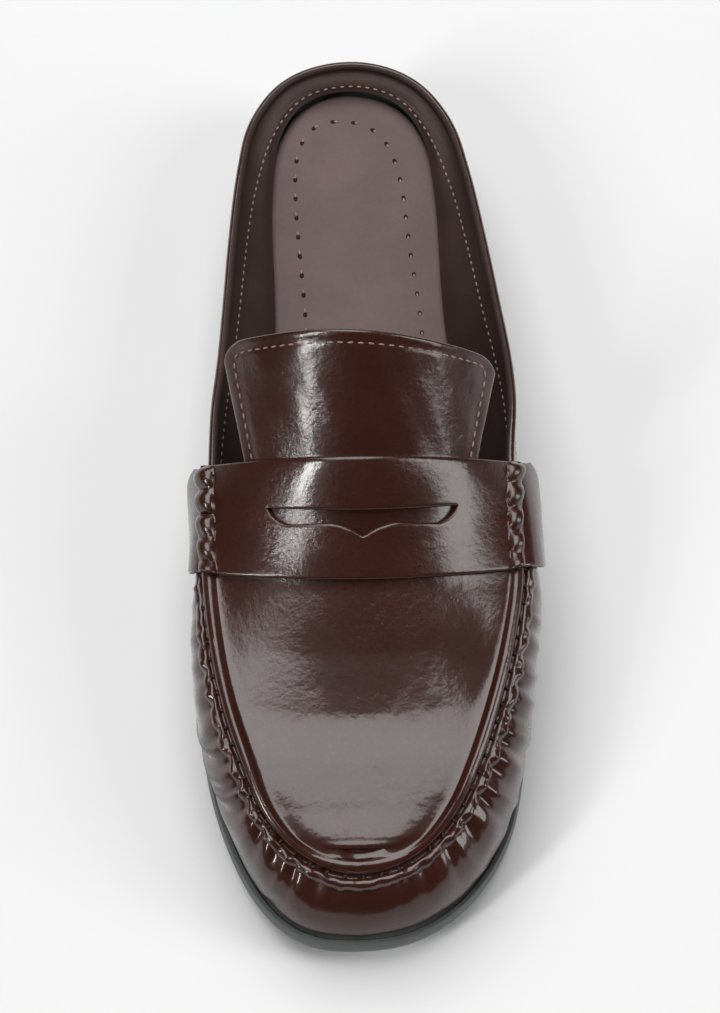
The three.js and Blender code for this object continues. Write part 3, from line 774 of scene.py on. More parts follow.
def rim_walk():
    """Distance walked along the rim from the toe tip, lateral side first, for the whole ring."""
    fine = np.linspace(0, TURN, 4000)
    h = LAST_FORM.at(fine)
    steps = np.hypot(np.diff(h[RIM_X]), np.diff(h[RIM_Y]))
    return fine, np.concatenate([[0], np.cumsum(steps)])


RIM_PLACES, RIM_WALKED = rim_walk()


def toe_distance(place):
    """Distance along the rim from the toe tip, negative on the medial side."""
    at = np.interp(np.mod(place, TURN), RIM_PLACES, RIM_WALKED)
    return np.where(np.mod(place, TURN) <= LAST, at, at - RIM_WALKED[-1])


def wobble(x, seed):
    """Slow unevenness between -1 and 1 from a few sines, the same each run."""
    sines = ((0.37, 1.0), (0.83, 2.1), (1.71, 0.7))
    return sum(np.sin(x * rate + shift * seed) for rate, shift in sines) / 3


def pleat_relief(place, d, sizes):
    """Pleats and creases of the wall, in millimetres, at distances d below the seam line."""
    along = toe_distance(place)
    height = np.zeros(np.broadcast(along, d).shape)
    for side, table in ((LATERAL, LATERAL_PLEATS), (MEDIAL, MEDIAL_PLEATS)):
        own = side * along
        for at, depth, half, reach, bend in table:
            line = at + bend * (d / 30) ** 2 * 3.0
            a = (own - line) / (half * (1 + d / 22))
            fall = smooth(PLEAT_START, PLEAT_START + 1.6, d) * np.exp(-((d / reach) ** 2))
            trough = -np.exp(-(a**2)) + 0.75 * np.exp(-((a - 1.7) ** 2) / 0.5)
            trough += 0.3 * np.exp(-((a + 1.9) ** 2) / 1.3)
            height += depth * sizes.pleat_depth / MM * fall * trough
    return height


def seam_relief(place, q, sizes):
    """Rolls of the apron seam, in millimetres: q is positive on the apron, negative on the wall."""
    along = toe_distance(place)
    phase = 2 * np.pi * along / (sizes.whip_pitch / MM) + 2.2 * wobble(along * 0.6, 1.3)
    gather = np.abs(np.cos(phase / 2)) ** 0.6
    front = np.exp(-((along / 24) ** 2))
    inner = half_round(q, 1.85, sizes.roll_height / MM)
    turned_up = 0.8 * np.exp(-np.clip(q - 1.3, 0, None) / 0.85) * (q > 0)
    sides = (0.25 + 0.8 * gather) * (0.75 + 0.5 * wobble(along, 4.0))
    height = mix(sides, 1.5 + 0.25 * wobble(along, 5.0), front)
    across = q + GATHERED_ROLL + 0.35 * wobble(along, 2.6)
    outer = half_round(across, 1.45 + 0.3 * wobble(along * 1.3, 6.1), height)
    groove = 0.6 * half_round(q + SEAM_GROOVE, 0.6, 1.0)
    return np.maximum(np.maximum(inner, turned_up), outer) - groove


def lining_lean(section):
    return LINING_LEAN * smooth(10.3, 13.0, section) + HEEL_LEAN * smooth(15.0, 17.5, section)


def padding(d, section, foot):
    """Foam under the collar's lining, behind the strap, that leans it towards the foot."""
    full = PADDING + 2 * GAP + 1.25 * lining_lean(section)
    behind = smooth(APRON_END + 0.2, APRON_END + 1.6, section)
    return full * behind * smooth(1.5, np.maximum(d + foot - 3.0, 3.0), d)


def quarter_rows(length):
    """Distances below the collar of the two stitched rows, which close up round the heel."""
    return [np.minimum(row, share * length) for row, share in QUARTER_ROWS]


# Distances below the rim, and in from it on the apron, where rows follow the seam's rolls
NEAR_RIM = np.array(
    [0, 0.25, 0.6, 0.95, 1.3, 1.55, 1.75, 1.85, 2.0, 2.3, 2.6,
     2.75, 2.9, 3.2, 3.6, 4.1, 4.6, 5.1, 5.5, 5.8, 6.2, 6.8]
)  # fmt: skip
NEAR_APRON = np.array([0, 0.35, 0.7, 1.1, 1.5, 1.9, 2.2, 2.4, 2.55, 2.8, 3.2, 3.6, 4.0])
FRONT_COLUMNS = 150  # columns of the wall on either side, ahead of the apron's end
REAR_COLUMNS = 96  # and behind it


def upper_sections():
    """Sections at even steps along the rim, one of them at the end of the apron."""
    fine = np.linspace(0, LAST, 3000)
    lateral = np.interp(fine, RIM_PLACES, RIM_WALKED)
    medial = RIM_WALKED[-1] - np.interp(TURN - fine, RIM_PLACES, RIM_WALKED)
    walked = (lateral + medial) / 2
    front = float(np.interp(APRON_END, fine, walked))
    ahead = np.linspace(0, front, FRONT_COLUMNS)
    behind = np.linspace(front, walked[-1], REAR_COLUMNS)[1:]
    s = np.interp(np.concatenate([ahead, behind]), walked, fine)
    s[0], s[FRONT_COLUMNS - 1], s[-1] = 0.0, APRON_END, LAST
    return s


def build_wall(s, sizes):
    """Side wall all round, pleated under the seam and bound at the collar."""
    places = np.concatenate([s, TURN - s[::-1][1:]])
    places[-1] = TURN

    walked, shares = walk_wall(places)
    rest = np.linspace(0, 1, 27)[1:]
    d = np.array([np.append(NEAR_RIM, mix(NEAR_RIM[-1], w[-1], rest)) for w in walked])
    v = np.array([np.interp(row, w, shares) for row, w in zip(d, walked)])
    points = wall_point(places[:, None], v)
    points[-1] = points[0]
    foot = walked[:, -1:] - d
    section = np.minimum(places, TURN - places)[:, None]
    collar = smooth(-SEAM_FADE, 0.0, section - APRON_END)
    seam = seam_relief(places[:, None], -d, sizes) * (1 - collar)
    pleats = pleat_relief(places[:, None], d, sizes) * smooth(0, 6, foot)
    tuck = -TUCK * (1 - smooth(0, TUCK_REACH, foot))
    drape = DRAPE * wobble(toe_distance(places)[:, None] * 0.25 + 0.15 * d, 2.2) * smooth(3, 9, d)
    rows = quarter_rows(walked[:, -1:])
    grooves = -GROOVE * sum(np.exp(-(((d - row) / GROOVE_HALF) ** 2)) for row in rows)
    radius = WALL / 2
    rounding = radius - np.sqrt(np.clip(radius**2 - np.clip(radius - d, 0, radius) ** 2, 0, None))
    binding = smooth(0.2, 0.9, d) * (1 - smooth(2.0, 2.8, d))
    outer = seam + pleats + tuck + drape + collar * (grooves - rounding + BINDING * binding)
    inner = -WALL - padding(d, section, foot) + collar * (rounding - INNER_BINDING * binding)
    outer[-1], inner[-1] = outer[0], inner[0]
    behind = section[:, 0] > APRON_END + 1e-6
    outer[behind, 0] = inner[behind, 0] = -radius
    return points, outer, inner


def build_apron(s, sizes):
    """Apron from rim to rim, with the inner side of the seam's roll."""
    points = apron_rows(s, NEAR_APRON, np.linspace(-1, 1, 65)[1:-1])
    lifts = np.zeros(points.shape[:2])
    fade = (1 - smooth(-SEAM_FADE, 0.0, s - APRON_END))[:, None]
    count = len(NEAR_APRON)
    for side, columns, q in (
        (MEDIAL, slice(0, count), NEAR_APRON),
        (LATERAL, slice(-count, None), NEAR_APRON[::-1]),
    ):
        lifts[:, columns] = seam_relief(ring_place(side, s)[:, None], q[None, :], sizes) * fade
    return points, lifts, np.full(points.shape[:2], -WALL)


def build_upper(sizes):
    """Wall and apron share their columns: each section has one column on either side."""
    s = upper_sections()
    grids = [build_wall(s, sizes), build_apron(s[:FRONT_COLUMNS], sizes)]
    return shell("leather_upper", grids, leather_finishes())


EDGE_STEPS = np.array([0.0, 0.15, 0.4, 0.8])  # distances from a cut edge, where it is rounded
EDGE_DROP = np.array([0.45, 0.2, 0.05, 0.0])


def slot_lip(x):
    """Front lip of the slot ahead of its straight edge, by the distance from its middle."""
    half = SLOT_WIDTH / 2

    def bend(a, b, c):
        u = np.linspace(0, 1, 12)[:, None]
        return (1 - u) ** 2 * np.array(a) + 2 * u * (1 - u) * np.array(b) + u**2 * np.array(c)

    deep = SLOT_DEPTH
    beak = bend((0, deep + SLOT_BEAK), (0.15 * half, deep), (0.35 * half, 0.85 * deep))
    end = bend((0.8 * half, deep), (0.95 * half, 0.8 * deep), (half, 0))
    line = np.concatenate([beak, end])
    return np.interp(np.abs(x), line[:, 0], line[:, 1], right=0.0)


SEAM_FOOT = -SEAM[0, 0] * SEAM_WIDTH  # how far down the wall the seam's lift reaches
EAR_SPAN = EAR_DROP - SEAM_FOOT
STRAP_EDGES = np.array([0.35, 0.7, 1.05, 1.4, 1.75, 2.1, 2.4, 2.65, 2.85, 3.0, 3.3])
CLEAR = 9.0  # a place across the seam where nothing is lifted
STRAP_RIM = 3.4  # the strap's middle ends this far in from the rim
PUFF_TIED, PUFF_HEIGHT = 0.35, 2.5  # height of the strap's roll at its ties and between them
FLARE = {LATERAL: 3.2, MEDIAL: 5.0, 0: 0.0}  # how far each ear's rear corner stands off the wall


def ear_depth(share, y):
    """Distance below the rim of one column of the ear, whose rear corner is round."""
    into = np.clip(EAR_CORNER - (STRAP_REAR - y), 0, None)
    drop = EAR_DROP - (EAR_CORNER - np.sqrt(np.clip(EAR_CORNER**2 - into**2, 0, None)))
    return mix(0.0, SEAM_FOOT, share) + 0 * y if share <= 1 else mix(SEAM_FOOT, drop, share - 1)


def strap_columns(reach):
    """Columns of the strap from the medial to the lateral ear. Each has a kind, a side, its value
    on that kind of surface and its place across the seam."""
    ear = [*(2 - EDGE_STEPS / EAR_SPAN), *np.linspace(1.86, 1.1, 12), *np.linspace(1.0, 0.0, 17)]
    ends = [k * SLOT_WIDTH / 2 + e for k in (-1, 1) for e in (-0.8, -0.4, -0.15, 0, 0.15, 0.5)]
    xs = np.unique(np.round([*np.arange(-reach + 1, reach, 1.1), *ends], 3))

    def half(side):
        wall = [
            ("wall", side, e, -e * SEAM_FOOT if e <= 1 else -SEAM_FOOT - (e - 1) * EAR_SPAN)
            for e in ear
        ]
        return wall + [("seam", side, e, e) for e in STRAP_EDGES]

    return half(MEDIAL) + [("over", 0, x / reach, CLEAR) for x in xs] + half(LATERAL)[::-1]


def strap_point(kind, side, value, y):
    """Base surface under one column of the strap, for an array of places y along the rim."""
    if kind == "over":
        return apron_rows(section_at(y), STRAP_EDGES, np.array([value]))[:, len(STRAP_EDGES)]
    if kind == "seam":
        return beside_rim(side, section_at(y), value)
    d = ear_depth(value, y)
    place = ring_place(side, section_at(y + EAR_RAKE * d))
    return wall_point(place, wall_share(place, d))


def build_strap(sizes):
    """The strap in two grids, ahead of the slot and behind it."""
    half = SLOT_WIDTH / 2
    rear = apron_point(np.array(STRAP_END), np.array(0.0))
    third = apron_point(section_at(STRAP_FRONT + STRAP_WIDTH / 3), np.array(0.0))
    ahead = unit((third - rear) * [0, 1, 1])
    y = np.linspace(STRAP_FRONT, STRAP_REAR, 80)
    rim = apron_point(section_at(STRAP_FRONT + 15), np.array(1.0))
    columns = strap_columns(float(rim[0] - rear[0]) - STRAP_RIM)
    near = np.append(EDGE_STEPS, 1.3)
    grids = []
    for front in (True, False):
        points, outer, inner = [], [], []
        for kind, side, value, across in columns:
            line = strap_point(kind, side, value, y)
            gap_at = lip_at = STRAP_REAR - SLOT_SETBACK
            inside = 0.0
            if kind == "over":
                local = (line - rear) @ ahead - SLOT_SETBACK
                x = line[:, 0] - rear[0]
                gap_at = lip_at = np.interp(0.0, local[::-1], y[::-1])
                here = abs(np.interp(gap_at, y, x))
                inside = float(smooth(0.0, 1.2, half - here))
                if here < half - 0.05:
                    lip_at = np.interp(0.0, (local - slot_lip(x))[::-1], y[::-1])
            start, end = (STRAP_FRONT, lip_at) if front else (gap_at, STRAP_REAR)
            core = np.linspace(near[-1], end - start - near[-1], 14)[1:-1]
            w = np.concatenate([near, core, end - start - near[::-1]])
            rows = start + w
            first = np.interp(w, EDGE_STEPS, EDGE_DROP)
            last = np.interp(end - start - w, EDGE_STEPS, EDGE_DROP)
            drop = first + last * inside if front else first * inside + last
            flare = 0.0
            if kind == "wall":
                low = np.interp(value, 2 - EDGE_STEPS[::-1] / EAR_SPAN, EDGE_DROP[::-1])
                drop = np.maximum(drop, low)
                deep = np.clip(ear_depth(value, rows) - 1.6, 0, None) / (EAR_DROP - 1.6)
                back = smooth(STRAP_FRONT - 4, STRAP_REAR, rows)
                flare = FLARE[side] * EAR_FLARE * deep * back
            puff = puff_shape(rows, side, sizes)
            roll = half_round(across - 0.7, 1.75 + 0.5 * puff, mix(PUFF_TIED, PUFF_HEIGHT, puff))
            points.append(np.stack([np.interp(rows, y, line[:, k]) for k in range(3)], -1))
            outer.append(STRAP_GAP + STRAP + flare + roll - drop)
            inner.append(STRAP_GAP + seam_lift(across) + flare + 0 * w)
        grids.append((np.array(points).swapaxes(0, 1), np.array(outer).T, np.array(inner).T))
    return shell("leather_strap", grids, leather_finishes())


def puff_shape(y, side, sizes):
    """Height share of the strap's roll over the seam, which is tied in at its stitches."""
    pitch = sizes.puff_pitch / MM
    phase = (STRAP_REAR - y) / pitch + (0.1 if side == LATERAL else 0.0)
    wave = np.abs(np.sin(np.pi * phase)) ** 0.6
    ends = smooth(0, 1.6, STRAP_REAR - y)
    return wave * ends


def tongue_points(shares, steps):
    """Rows of the tongue's upper surface from under the strap to its free edge."""

    def along(s):
        width = 2 * np.abs(LAST_FORM.at(ring_place(LATERAL, s))[RIM_X] - apron_point(s, 0.0)[0])
        return apron_point(np.full(len(shares), s), shares * TONGUE_ROOT / width)

    start = float(section_at(STRAP_REAR - TONGUE_UNDERLAP + 1.4 * GAP))
    root = along(STRAP_END)
    crest = apron_point(STRAP_END, 0.0) + TONGUE_FREE * np.array(
        [0, math.cos(TONGUE_SLOPE), math.sin(TONGUE_SLOPE)]
    )
    t = shares
    end = np.stack(
        [
            crest[0] + t * TONGUE_END / 2,
            crest[1] + TONGUE_SWEEP * t * t - TONGUE_TILT * t,
            crest[2] - TONGUE_ARCH * t * t - TONGUE_TILT * t,
        ],
        -1,
    )
    into = np.clip(1 - (1 - np.abs(t)) * TONGUE_END / 2 / TONGUE_CORNER, 0, None)
    reach = 1 - TONGUE_CORNER * (1 - np.sqrt(np.clip(1 - into * into, 0, None))) / TONGUE_FREE
    under = [along(mix(start, STRAP_END, u)) for u in np.linspace(0, 1, 5)]
    free = [mix(root, end, (a * reach)[:, None]) for a in steps]
    return np.array(under + free)


def build_tongue(sizes):
    inset = EDGE_STEPS / (TONGUE_END / 2)
    middle = np.linspace(-1 + inset[-1] * 1.6, 1 - inset[-1] * 1.6, 70)
    shares = np.concatenate([-1 + inset, middle, 1 - inset[::-1]])
    back = EDGE_STEPS / TONGUE_FREE
    steps = np.concatenate([np.linspace(0, 1 - back[-1], 34)[1:], 1 - back[::-1][1:]])
    points = tongue_points(shares, steps)
    from_side = (1 - np.abs(shares)) * TONGUE_END / 2
    from_end = np.full(len(points), 99.0)  # rows under the strap lie clear of the free edge
    from_end[-len(steps) :] = (1 - steps) * TONGUE_FREE
    side, end = (np.interp(away, EDGE_STEPS, EDGE_DROP) for away in (from_side, from_end))
    outer = -np.maximum(side[None, :], end[:, None])
    nearest = np.minimum(from_side[None, :], from_end[:, None])
    outer -= TONGUE_GROOVE * np.exp(-(((nearest - TONGUE_SEAM) / TONGUE_GROOVE_HALF) ** 2))
    outer += TONGUE_DRAPE * wobble(points[..., 0] * 0.4 + points[..., 1] * 0.23, 3.1)
    inner = np.full(outer.shape, -TONGUE)
    return shell("leather_tongue", [(points, outer, inner)], leather_finishes())


# ---- sole, heel and insole


def sole_sections(first, last, step):
    fine = np.linspace(first, last, 2000)
    arc = LAST_FORM.arc(fine)
    count = int((arc[-1] - arc[0]) / step)
    return np.interp(np.linspace(arc[0], arc[-1], count), arc, fine)


def both_sides(s, inset, height):
    return [outline_point(ring_place(side, s), inset, height) for side in (MEDIAL, LATERAL)]


def spread(pair, count):
    """Points at even steps from one of a pair to the other, without the two."""
    return [mix(*pair, u) for u in np.linspace(0, 1, count)[1:-1]]


def build_outsole():
    s = sole_sections(0, LAST, 1.3)
    bed_inset = LEDGE + WALL + 2 * GAP

    def edge(inset, share):
        return both_sides(s, inset * SIDE_ROUND, lambda h: mix(underside(h), sole_top(h), share))

    low = [edge(*row) for row in SOLE_SIDE_LOW]
    high = [edge(*row) for row in SOLE_SIDE_HIGH]
    for inset, drop in (
        (LEDGE - 0.55, 0),
        (LEDGE - 0.2, FEATHER),
        (LEDGE + 0.6, FEATHER),
        (bed_inset, 0),
        (bed_inset, BED_DEPTH),
    ):
        high.append(both_sides(s, inset, lambda h, drop=drop: sole_top(h) - drop))
    return loft("rubber_outsole", low, high, spread(low[0], 9), spread(high[-1], 9), "sole_rubber")


def wedge_top(h):
    return underside(h) - GAP


def lift_top(h):
    breast = LAST_FORM.at(np.array(BREAST))[PITCH]
    return wedge_top(h) - mix(WEDGE_BREAST, WEDGE_BACK, (h[PITCH] - breast) / (1 - breast)) - GAP


def heel_layer(name, bottom, top, material):
    """A lift of the heel, its edges just broken so that the joints catch light."""
    s = sole_sections(BREAST, LAST, 1.3)
    chamfer = 0.3

    def level(height, extra):
        def inset_point(side):
            place = ring_place(side, s)
            h = LAST_FORM.at(place)
            inset = SIDE_ROUND + HEEL_TAPER * (1 - height(h) / np.maximum(underside(h), 1)) + extra
            return outline_point(place, inset, height)

        return [inset_point(MEDIAL), inset_point(LATERAL)]

    thin = lambda h: np.minimum(chamfer, 0.3 * (top(h) - bottom(h)))
    low = [level(bottom, chamfer), level(lambda h: bottom(h) + thin(h), 0.0)]
    high = [level(lambda h: top(h) - thin(h), 0.0), level(top, chamfer)]
    sides = spread(low[0], 7), spread(high[1], 7)
    return loft(name, low, high, *sides, material, capped=True, sharp=math.radians(30))


def insole_inset(s):
    return LEDGE + WALL + 3 * GAP + 0.6 * lining_lean(s)


def insole_height(h):
    return sole_top(h) - BED_DEPTH + GAP + INSOLE


def build_insole():
    s = sole_sections(0, LAST, 1.4)
    inset = insole_inset(s)

    def level(extra, drop, height=insole_height):
        return both_sides(s, inset + extra, lambda h: height(h) - drop)

    bottom = level(0, 0, lambda h: sole_top(h) - BED_DEPTH + GAP)
    high = [level(0, 0.9), level(0.12, 0.45), level(0.45, 0.12), level(1.0, 0.0)]
    width = np.linalg.norm(high[-1][1] - high[-1][0], axis=-1)
    hollow = INSOLE_HOLLOW * width / BALL_WIDTH
    middle = []
    for t in np.linspace(-1, 1, 27)[1:-1]:
        p = mix(high[-1][0], high[-1][1], (t + 1) / 2)
        p[:, 2] -= hollow * (1 - t * t)
        middle.append(p)
    return loft("leather_insole", [bottom], high, spread(bottom, 7), middle, "insole_leather")


def insole_point(x, y):
    """Point of the insole's top over a place in plan."""
    s = np.linspace(0, LAST, 1500)
    medial, lateral = both_sides(s, insole_inset(s) + 1.0, insole_height)
    along = (medial[:, 1] + lateral[:, 1]) / 2
    medial, lateral = (
        np.stack([np.interp(y, along, c) for c in side.T], -1) for side in (medial, lateral)
    )
    width = np.maximum(lateral[:, 0] - medial[:, 0], 1)
    share = (x - medial[:, 0]) / width
    z = mix(medial[:, 2], lateral[:, 2], share)
    return np.stack([x, y, z - INSOLE_HOLLOW * width / BALL_WIDTH * 4 * share * (1 - share)], -1)


# ---- stitching


def stitch_tree():
    """Geometry nodes that set one stitch after another along a line that lies on the leather."""
    tree = bpy.data.node_groups.new("stitch_row", "GeometryNodeTree")
    face = tree.interface
    face.new_socket("Geometry", in_out="INPUT", socket_type="NodeSocketGeometry")
    face.new_socket("Geometry", in_out="OUTPUT", socket_type="NodeSocketGeometry")
    for name, value in (("Pitch", 0.003), ("Length", 0.002), ("Width", 0.0007), ("Height", 0.0005)):
        socket = face.new_socket(name, in_out="INPUT", socket_type="NodeSocketFloat")
        socket.subtype, socket.default_value = "DISTANCE", value
    turn = face.new_socket("Turn", in_out="INPUT", socket_type="NodeSocketFloat")
    turn.subtype, turn.default_value = "ANGLE", 0.0
    uneven = face.new_socket("Unevenness", in_out="INPUT", socket_type="NodeSocketFloat")
    uneven.default_value = 0.1
    face.new_socket("Material", in_out="INPUT", socket_type="NodeSocketMaterial")
    given = tree.nodes.new("NodeGroupInput").outputs
    curve = add(tree, "GeometryNodeMeshToCurve", Mesh=given["Geometry"]).outputs[0]
    spaced = add(
        tree, "GeometryNodeResampleCurve", {"mode": "LENGTH"}, Curve=curve, Length=given["Pitch"]
    ).outputs[0]
    tangent = tree.nodes.new("GeometryNodeInputTangent").outputs[0]
    up = add(tree, "GeometryNodeInputNamedAttribute", {"data_type": "FLOAT_VECTOR"}, Name="up")
    lies = add(
        tree, "FunctionNodeAlignRotationToVector", {"axis": "X"}, Vector=tangent
    ).outputs[0]
    stands = add(
        tree, "FunctionNodeAlignRotationToVector", {"axis": "Z", "pivot_axis": "X"},
        Rotation=lies, Vector=up.outputs[0],
    ).outputs[0]  # fmt: skip
    jitter = add(
        tree, "FunctionNodeRandomValue", {"data_type": "FLOAT"}, _2=-1.0, _3=1.0, Seed=7
    ).outputs[1]
    angle = add(tree, "ShaderNodeMath", {"operation": "MULTIPLY_ADD"}, _0=jitter)
    tree.links.new(given["Unevenness"], angle.inputs[1])
    tree.links.new(given["Turn"], angle.inputs[2])
    spin = add(tree, "FunctionNodeAxisAngleToRotation", Axis=(0, 0, 1), Angle=angle.outputs[0])
    turned = add(
        tree, "FunctionNodeRotateRotation", {"rotation_space": "LOCAL"}, Rotation=stands,
        Rotate_By=spin.outputs[0],
    ).outputs[0]  # fmt: skip
    bead = add(tree, "GeometryNodeMeshUVSphere", Segments=8, Rings=6, Radius=0.5).outputs["Mesh"]
    size = tree.nodes.new("ShaderNodeCombineXYZ")
    for i, name in enumerate(("Length", "Width", "Height")):
        tree.links.new(given[name], size.inputs[i])
    placed_beads = add(
        tree, "GeometryNodeInstanceOnPoints", Points=spaced, Instance=bead, Rotation=turned,
        Scale=size.outputs[0],
    ).outputs[0]  # fmt: skip
    solid = add(tree, "GeometryNodeRealizeInstances", Geometry=placed_beads).outputs[0]
    soft = add(tree, "GeometryNodeSetShadeSmooth", Geometry=solid).outputs[0]
    dressed = add(tree, "GeometryNodeSetMaterial", Geometry=soft, Material=given["Material"])
    tree.links.new(dressed.outputs[0], tree.nodes.new("NodeGroupOutput").inputs[0])
    return tree


def stitched(name, lines, tree, material, pitch, size, uneven, turn=0.0):
    """Stitches along lines of (points, normals), in millimetres, as one plain mesh. Pitch and
    size, which is a stitch's length, width and height, are in metres."""
    guide = bpy.data.meshes.new(name + "_line")
    points = np.concatenate([placed(p) for p, _ in lines])
    edges, start = [], 0
    for p, _ in lines:
        edges += [(start + i, start + i + 1) for i in range(len(p) - 1)]
        start += len(p)
    guide.from_pydata(points.tolist(), edges, [])
    up = guide.attributes.new("up", "FLOAT_VECTOR", "POINT")
    up.data.foreach_set("vector", np.concatenate([n for _, n in lines]).astype(np.float32).ravel())
    obj = link(name + "_guide", guide)
    modifier = obj.modifiers.new("stitches", "NODES")
    modifier.node_group = tree
    values = {"Material": finish(material), "Pitch": pitch, "Unevenness": uneven, "Turn": turn}
    values.update(zip(("Length", "Width", "Height"), size))
    for item in tree.interface.items_tree:
        if item.in_out == "INPUT" and item.name in values:
            modifier[item.identifier] = values[item.name]
    bpy.context.view_layer.update()
    evaluated = obj.evaluated_get(bpy.context.evaluated_depsgraph_get())
    mesh = bpy.data.meshes.new_from_object(evaluated)
    mesh.name = name
    obj.modifiers.clear()
    bpy.data.objects.remove(obj)
    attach(link(name, mesh), "root")


def wall_line(places, distance, lift):
    """A line on the wall at a distance below the rim, raised along the wall's normal."""
    share = wall_share(places, distance)
    point = wall_point(places, share)
    down = wall_point(places, share - 0.02) - wall_point(places, share + 0.02)
    along = wall_point(places + 0.01, share) - wall_point(places - 0.01, share)
    normal = unit(np.cross(down, along))
    outward = np.concatenate([LAST_FORM.outward(places), np.zeros((len(places), 1))], -1)
    flip = np.sign((normal * outward).sum(-1, keepdims=True))
    normal = normal * np.where(flip == 0, 1, flip)
    lift = np.broadcast_to(np.asarray(lift, float), (len(places),))
    return point + normal * lift[:, None], normal


def build_stitching(sizes):
    tree = stitch_tree()
    collar_stitches(tree, sizes.thread, sizes.row_pitch)
    whip_stitches(tree, sizes.whip_pitch)
    tongue_stitches(tree, sizes.thread)
    insole_stitches(tree)


def collar_stitches(tree, thread, pitch):
    """The quarter's double row with dark beads in its needle holes as painted shade, and the
    lining's row inside.
    """
    start = float(section_at(STRAP_REAR - 3))
    places = np.linspace(start, TURN - start, 700)
    length = walk_wall(places)[0][:, -1]
    beads, holes = (
        [wall_line(places, row, lift) for row in quarter_rows(length)] for lift in (-0.12, -0.17)
    )
    size = (0.62 * pitch, 0.75 * thread, 0.75 * thread)
    stitched("quarter_stitches", beads, tree, "thread", pitch, size, 0.05)
    # dark beads sunk into the needle holes between the stitches: painted shade
    holes = [shifted(line, pitch / 2 / MM) for line in holes]
    size = (1.1 * MM, 1.05 * MM, 0.55 * MM)
    stitched("quarter_holes", holes, tree, "needle_hole", pitch, size, 0.0)
    inside = np.minimum(LINING_ROW, length - LINING_FOOT)
    section = np.minimum(places, TURN - places)
    row = wall_line(places, inside, -WALL - padding(inside, section, length - inside) - 0.02)
    size = (1.5 * MM, 0.75 * thread, 0.7 * thread)
    stitched("lining_stitches", [row], tree, "thread", 2.5 * MM, size, 0.12)


def insole_stitches(tree):
    """Long needle holes along the footbed, dark beads as painted shade, with a pale stitch after
    each.
    """
    x, y = INSOLE_STITCHING.T
    given = np.arange(len(x))
    t = np.linspace(0, len(x) - 1, 260)
    line = insole_point(np.interp(t, given, x), np.interp(t, given, y))
    line[:, :2] = smooth_line(line[:, :2])
    up = np.tile([0.0, 0.0, 1.0], (len(line), 1))
    pitch = 6.1 * MM
    size = (1.9 * MM, 1.4 * MM, 0.5 * MM)
    # dark beads sunk into the holes: painted shade
    stitched("insole_holes", [(line + [0, 0, -0.05], up)], tree, "needle_hole", pitch, size, 0.15)
    row = shifted((line + [0, 0, 0.02], up), 1.6)
    size = (1.5 * MM, 0.8 * MM, 0.5 * MM)
    stitched("insole_stitches", [row], tree, "insole_thread", pitch, size, 0.2)


def smooth_line(points):
    kernel = np.ones(9) / 9
    padded = np.pad(points, ((4, 4), (0, 0)), mode="edge")
    return np.stack([np.convolve(c, kernel, mode="valid") for c in padded.T], -1)


def shifted(line, distance):
    """The line from some distance after its start."""
    points, normals = line
    walked = np.concatenate([[0], np.cumsum(np.linalg.norm(np.diff(points, axis=0), axis=1))])
    at = np.linspace(distance, walked[-1], len(points))
    return tuple(np.stack([np.interp(at, walked, c) for c in a.T], -1) for a in (points, normals))


def whip_stitches(tree, pitch):
    """Stitches that draw the gathered wall to the apron's roll, set across the groove. Their
    near-black thread is partly painted shade of the groove.
    """
    front = float(section_at(STRAP_FRONT + 1))
    medial, lateral = np.linspace(TURN - front, TURN - 1e-4, 260), np.linspace(0, front, 260)
    row = wall_line(np.concatenate([medial, lateral]), SEAM_GROOVE - 0.1, -0.1)
    size = (2.4 * MM, 1.0 * MM, 0.9 * MM)
    # thread darkened well below the leather: partly painted shade of the groove
    stitched("seam_stitches", [row], tree, "dark_thread", pitch, size, 0.4, math.radians(74))


def tongue_stitches(tree, thread):
    """A row round the tongue's free edge, along the lines of its own grid."""
    steps, columns = 40, 160
    shares = np.linspace(-1, 1, columns + 1)
    points = tongue_points(shares, np.linspace(0, 1, steps + 1)[1:])[4:]
    row = int(round((1 - TONGUE_SEAM / TONGUE_FREE) * steps))
    left = int(round(TONGUE_SEAM / TONGUE_END * columns))
    right = columns - left
    path = [points[r, left] for r in range(2, row)]
    path += [points[row, c] for c in range(left, right + 1)]
    path += [points[r, right] for r in range(row - 1, 1, -1)]
    line = np.array(path)
    line = np.concatenate([line[:1], smooth_line(line)[1:-1], line[-1:]])
    over = [0.0, -math.sin(TONGUE_SLOPE), math.cos(TONGUE_SLOPE)]
    normal = np.tile(over, (len(line), 1))
    normal[:, 0] = (line[:, 0] - line[:, 0].mean()) / 45
    normal = unit(normal)
    row = (line + normal * -0.05, normal)
    size = (1.8 * MM, 0.7 * thread, 0.8 * thread)
    stitched("tongue_stitches", [row], tree, "thread", 2.7 * MM, size, 0.08)


# ---- stage

VIEW_TURN = math.radians(-2.53)
VIEW_TILT = math.radians(61.68)
VIEW_ROLL = math.radians(-1.41)
VIEW_DISTANCE = 0.794
VIEW_AIM = (0.0, 134.0, 30.0)
PHOTO_HEIGHT = 1013
PHOTO_FOCAL = 1540  # focal length in pixels of the photograph
PHOTO_SHIFT = 22.7  # pixels from the lens axis to the middle of the frame
SENSOR = 36
CLOSER = 1.85  # the photograph shows two shoes; the one shoe is framed larger

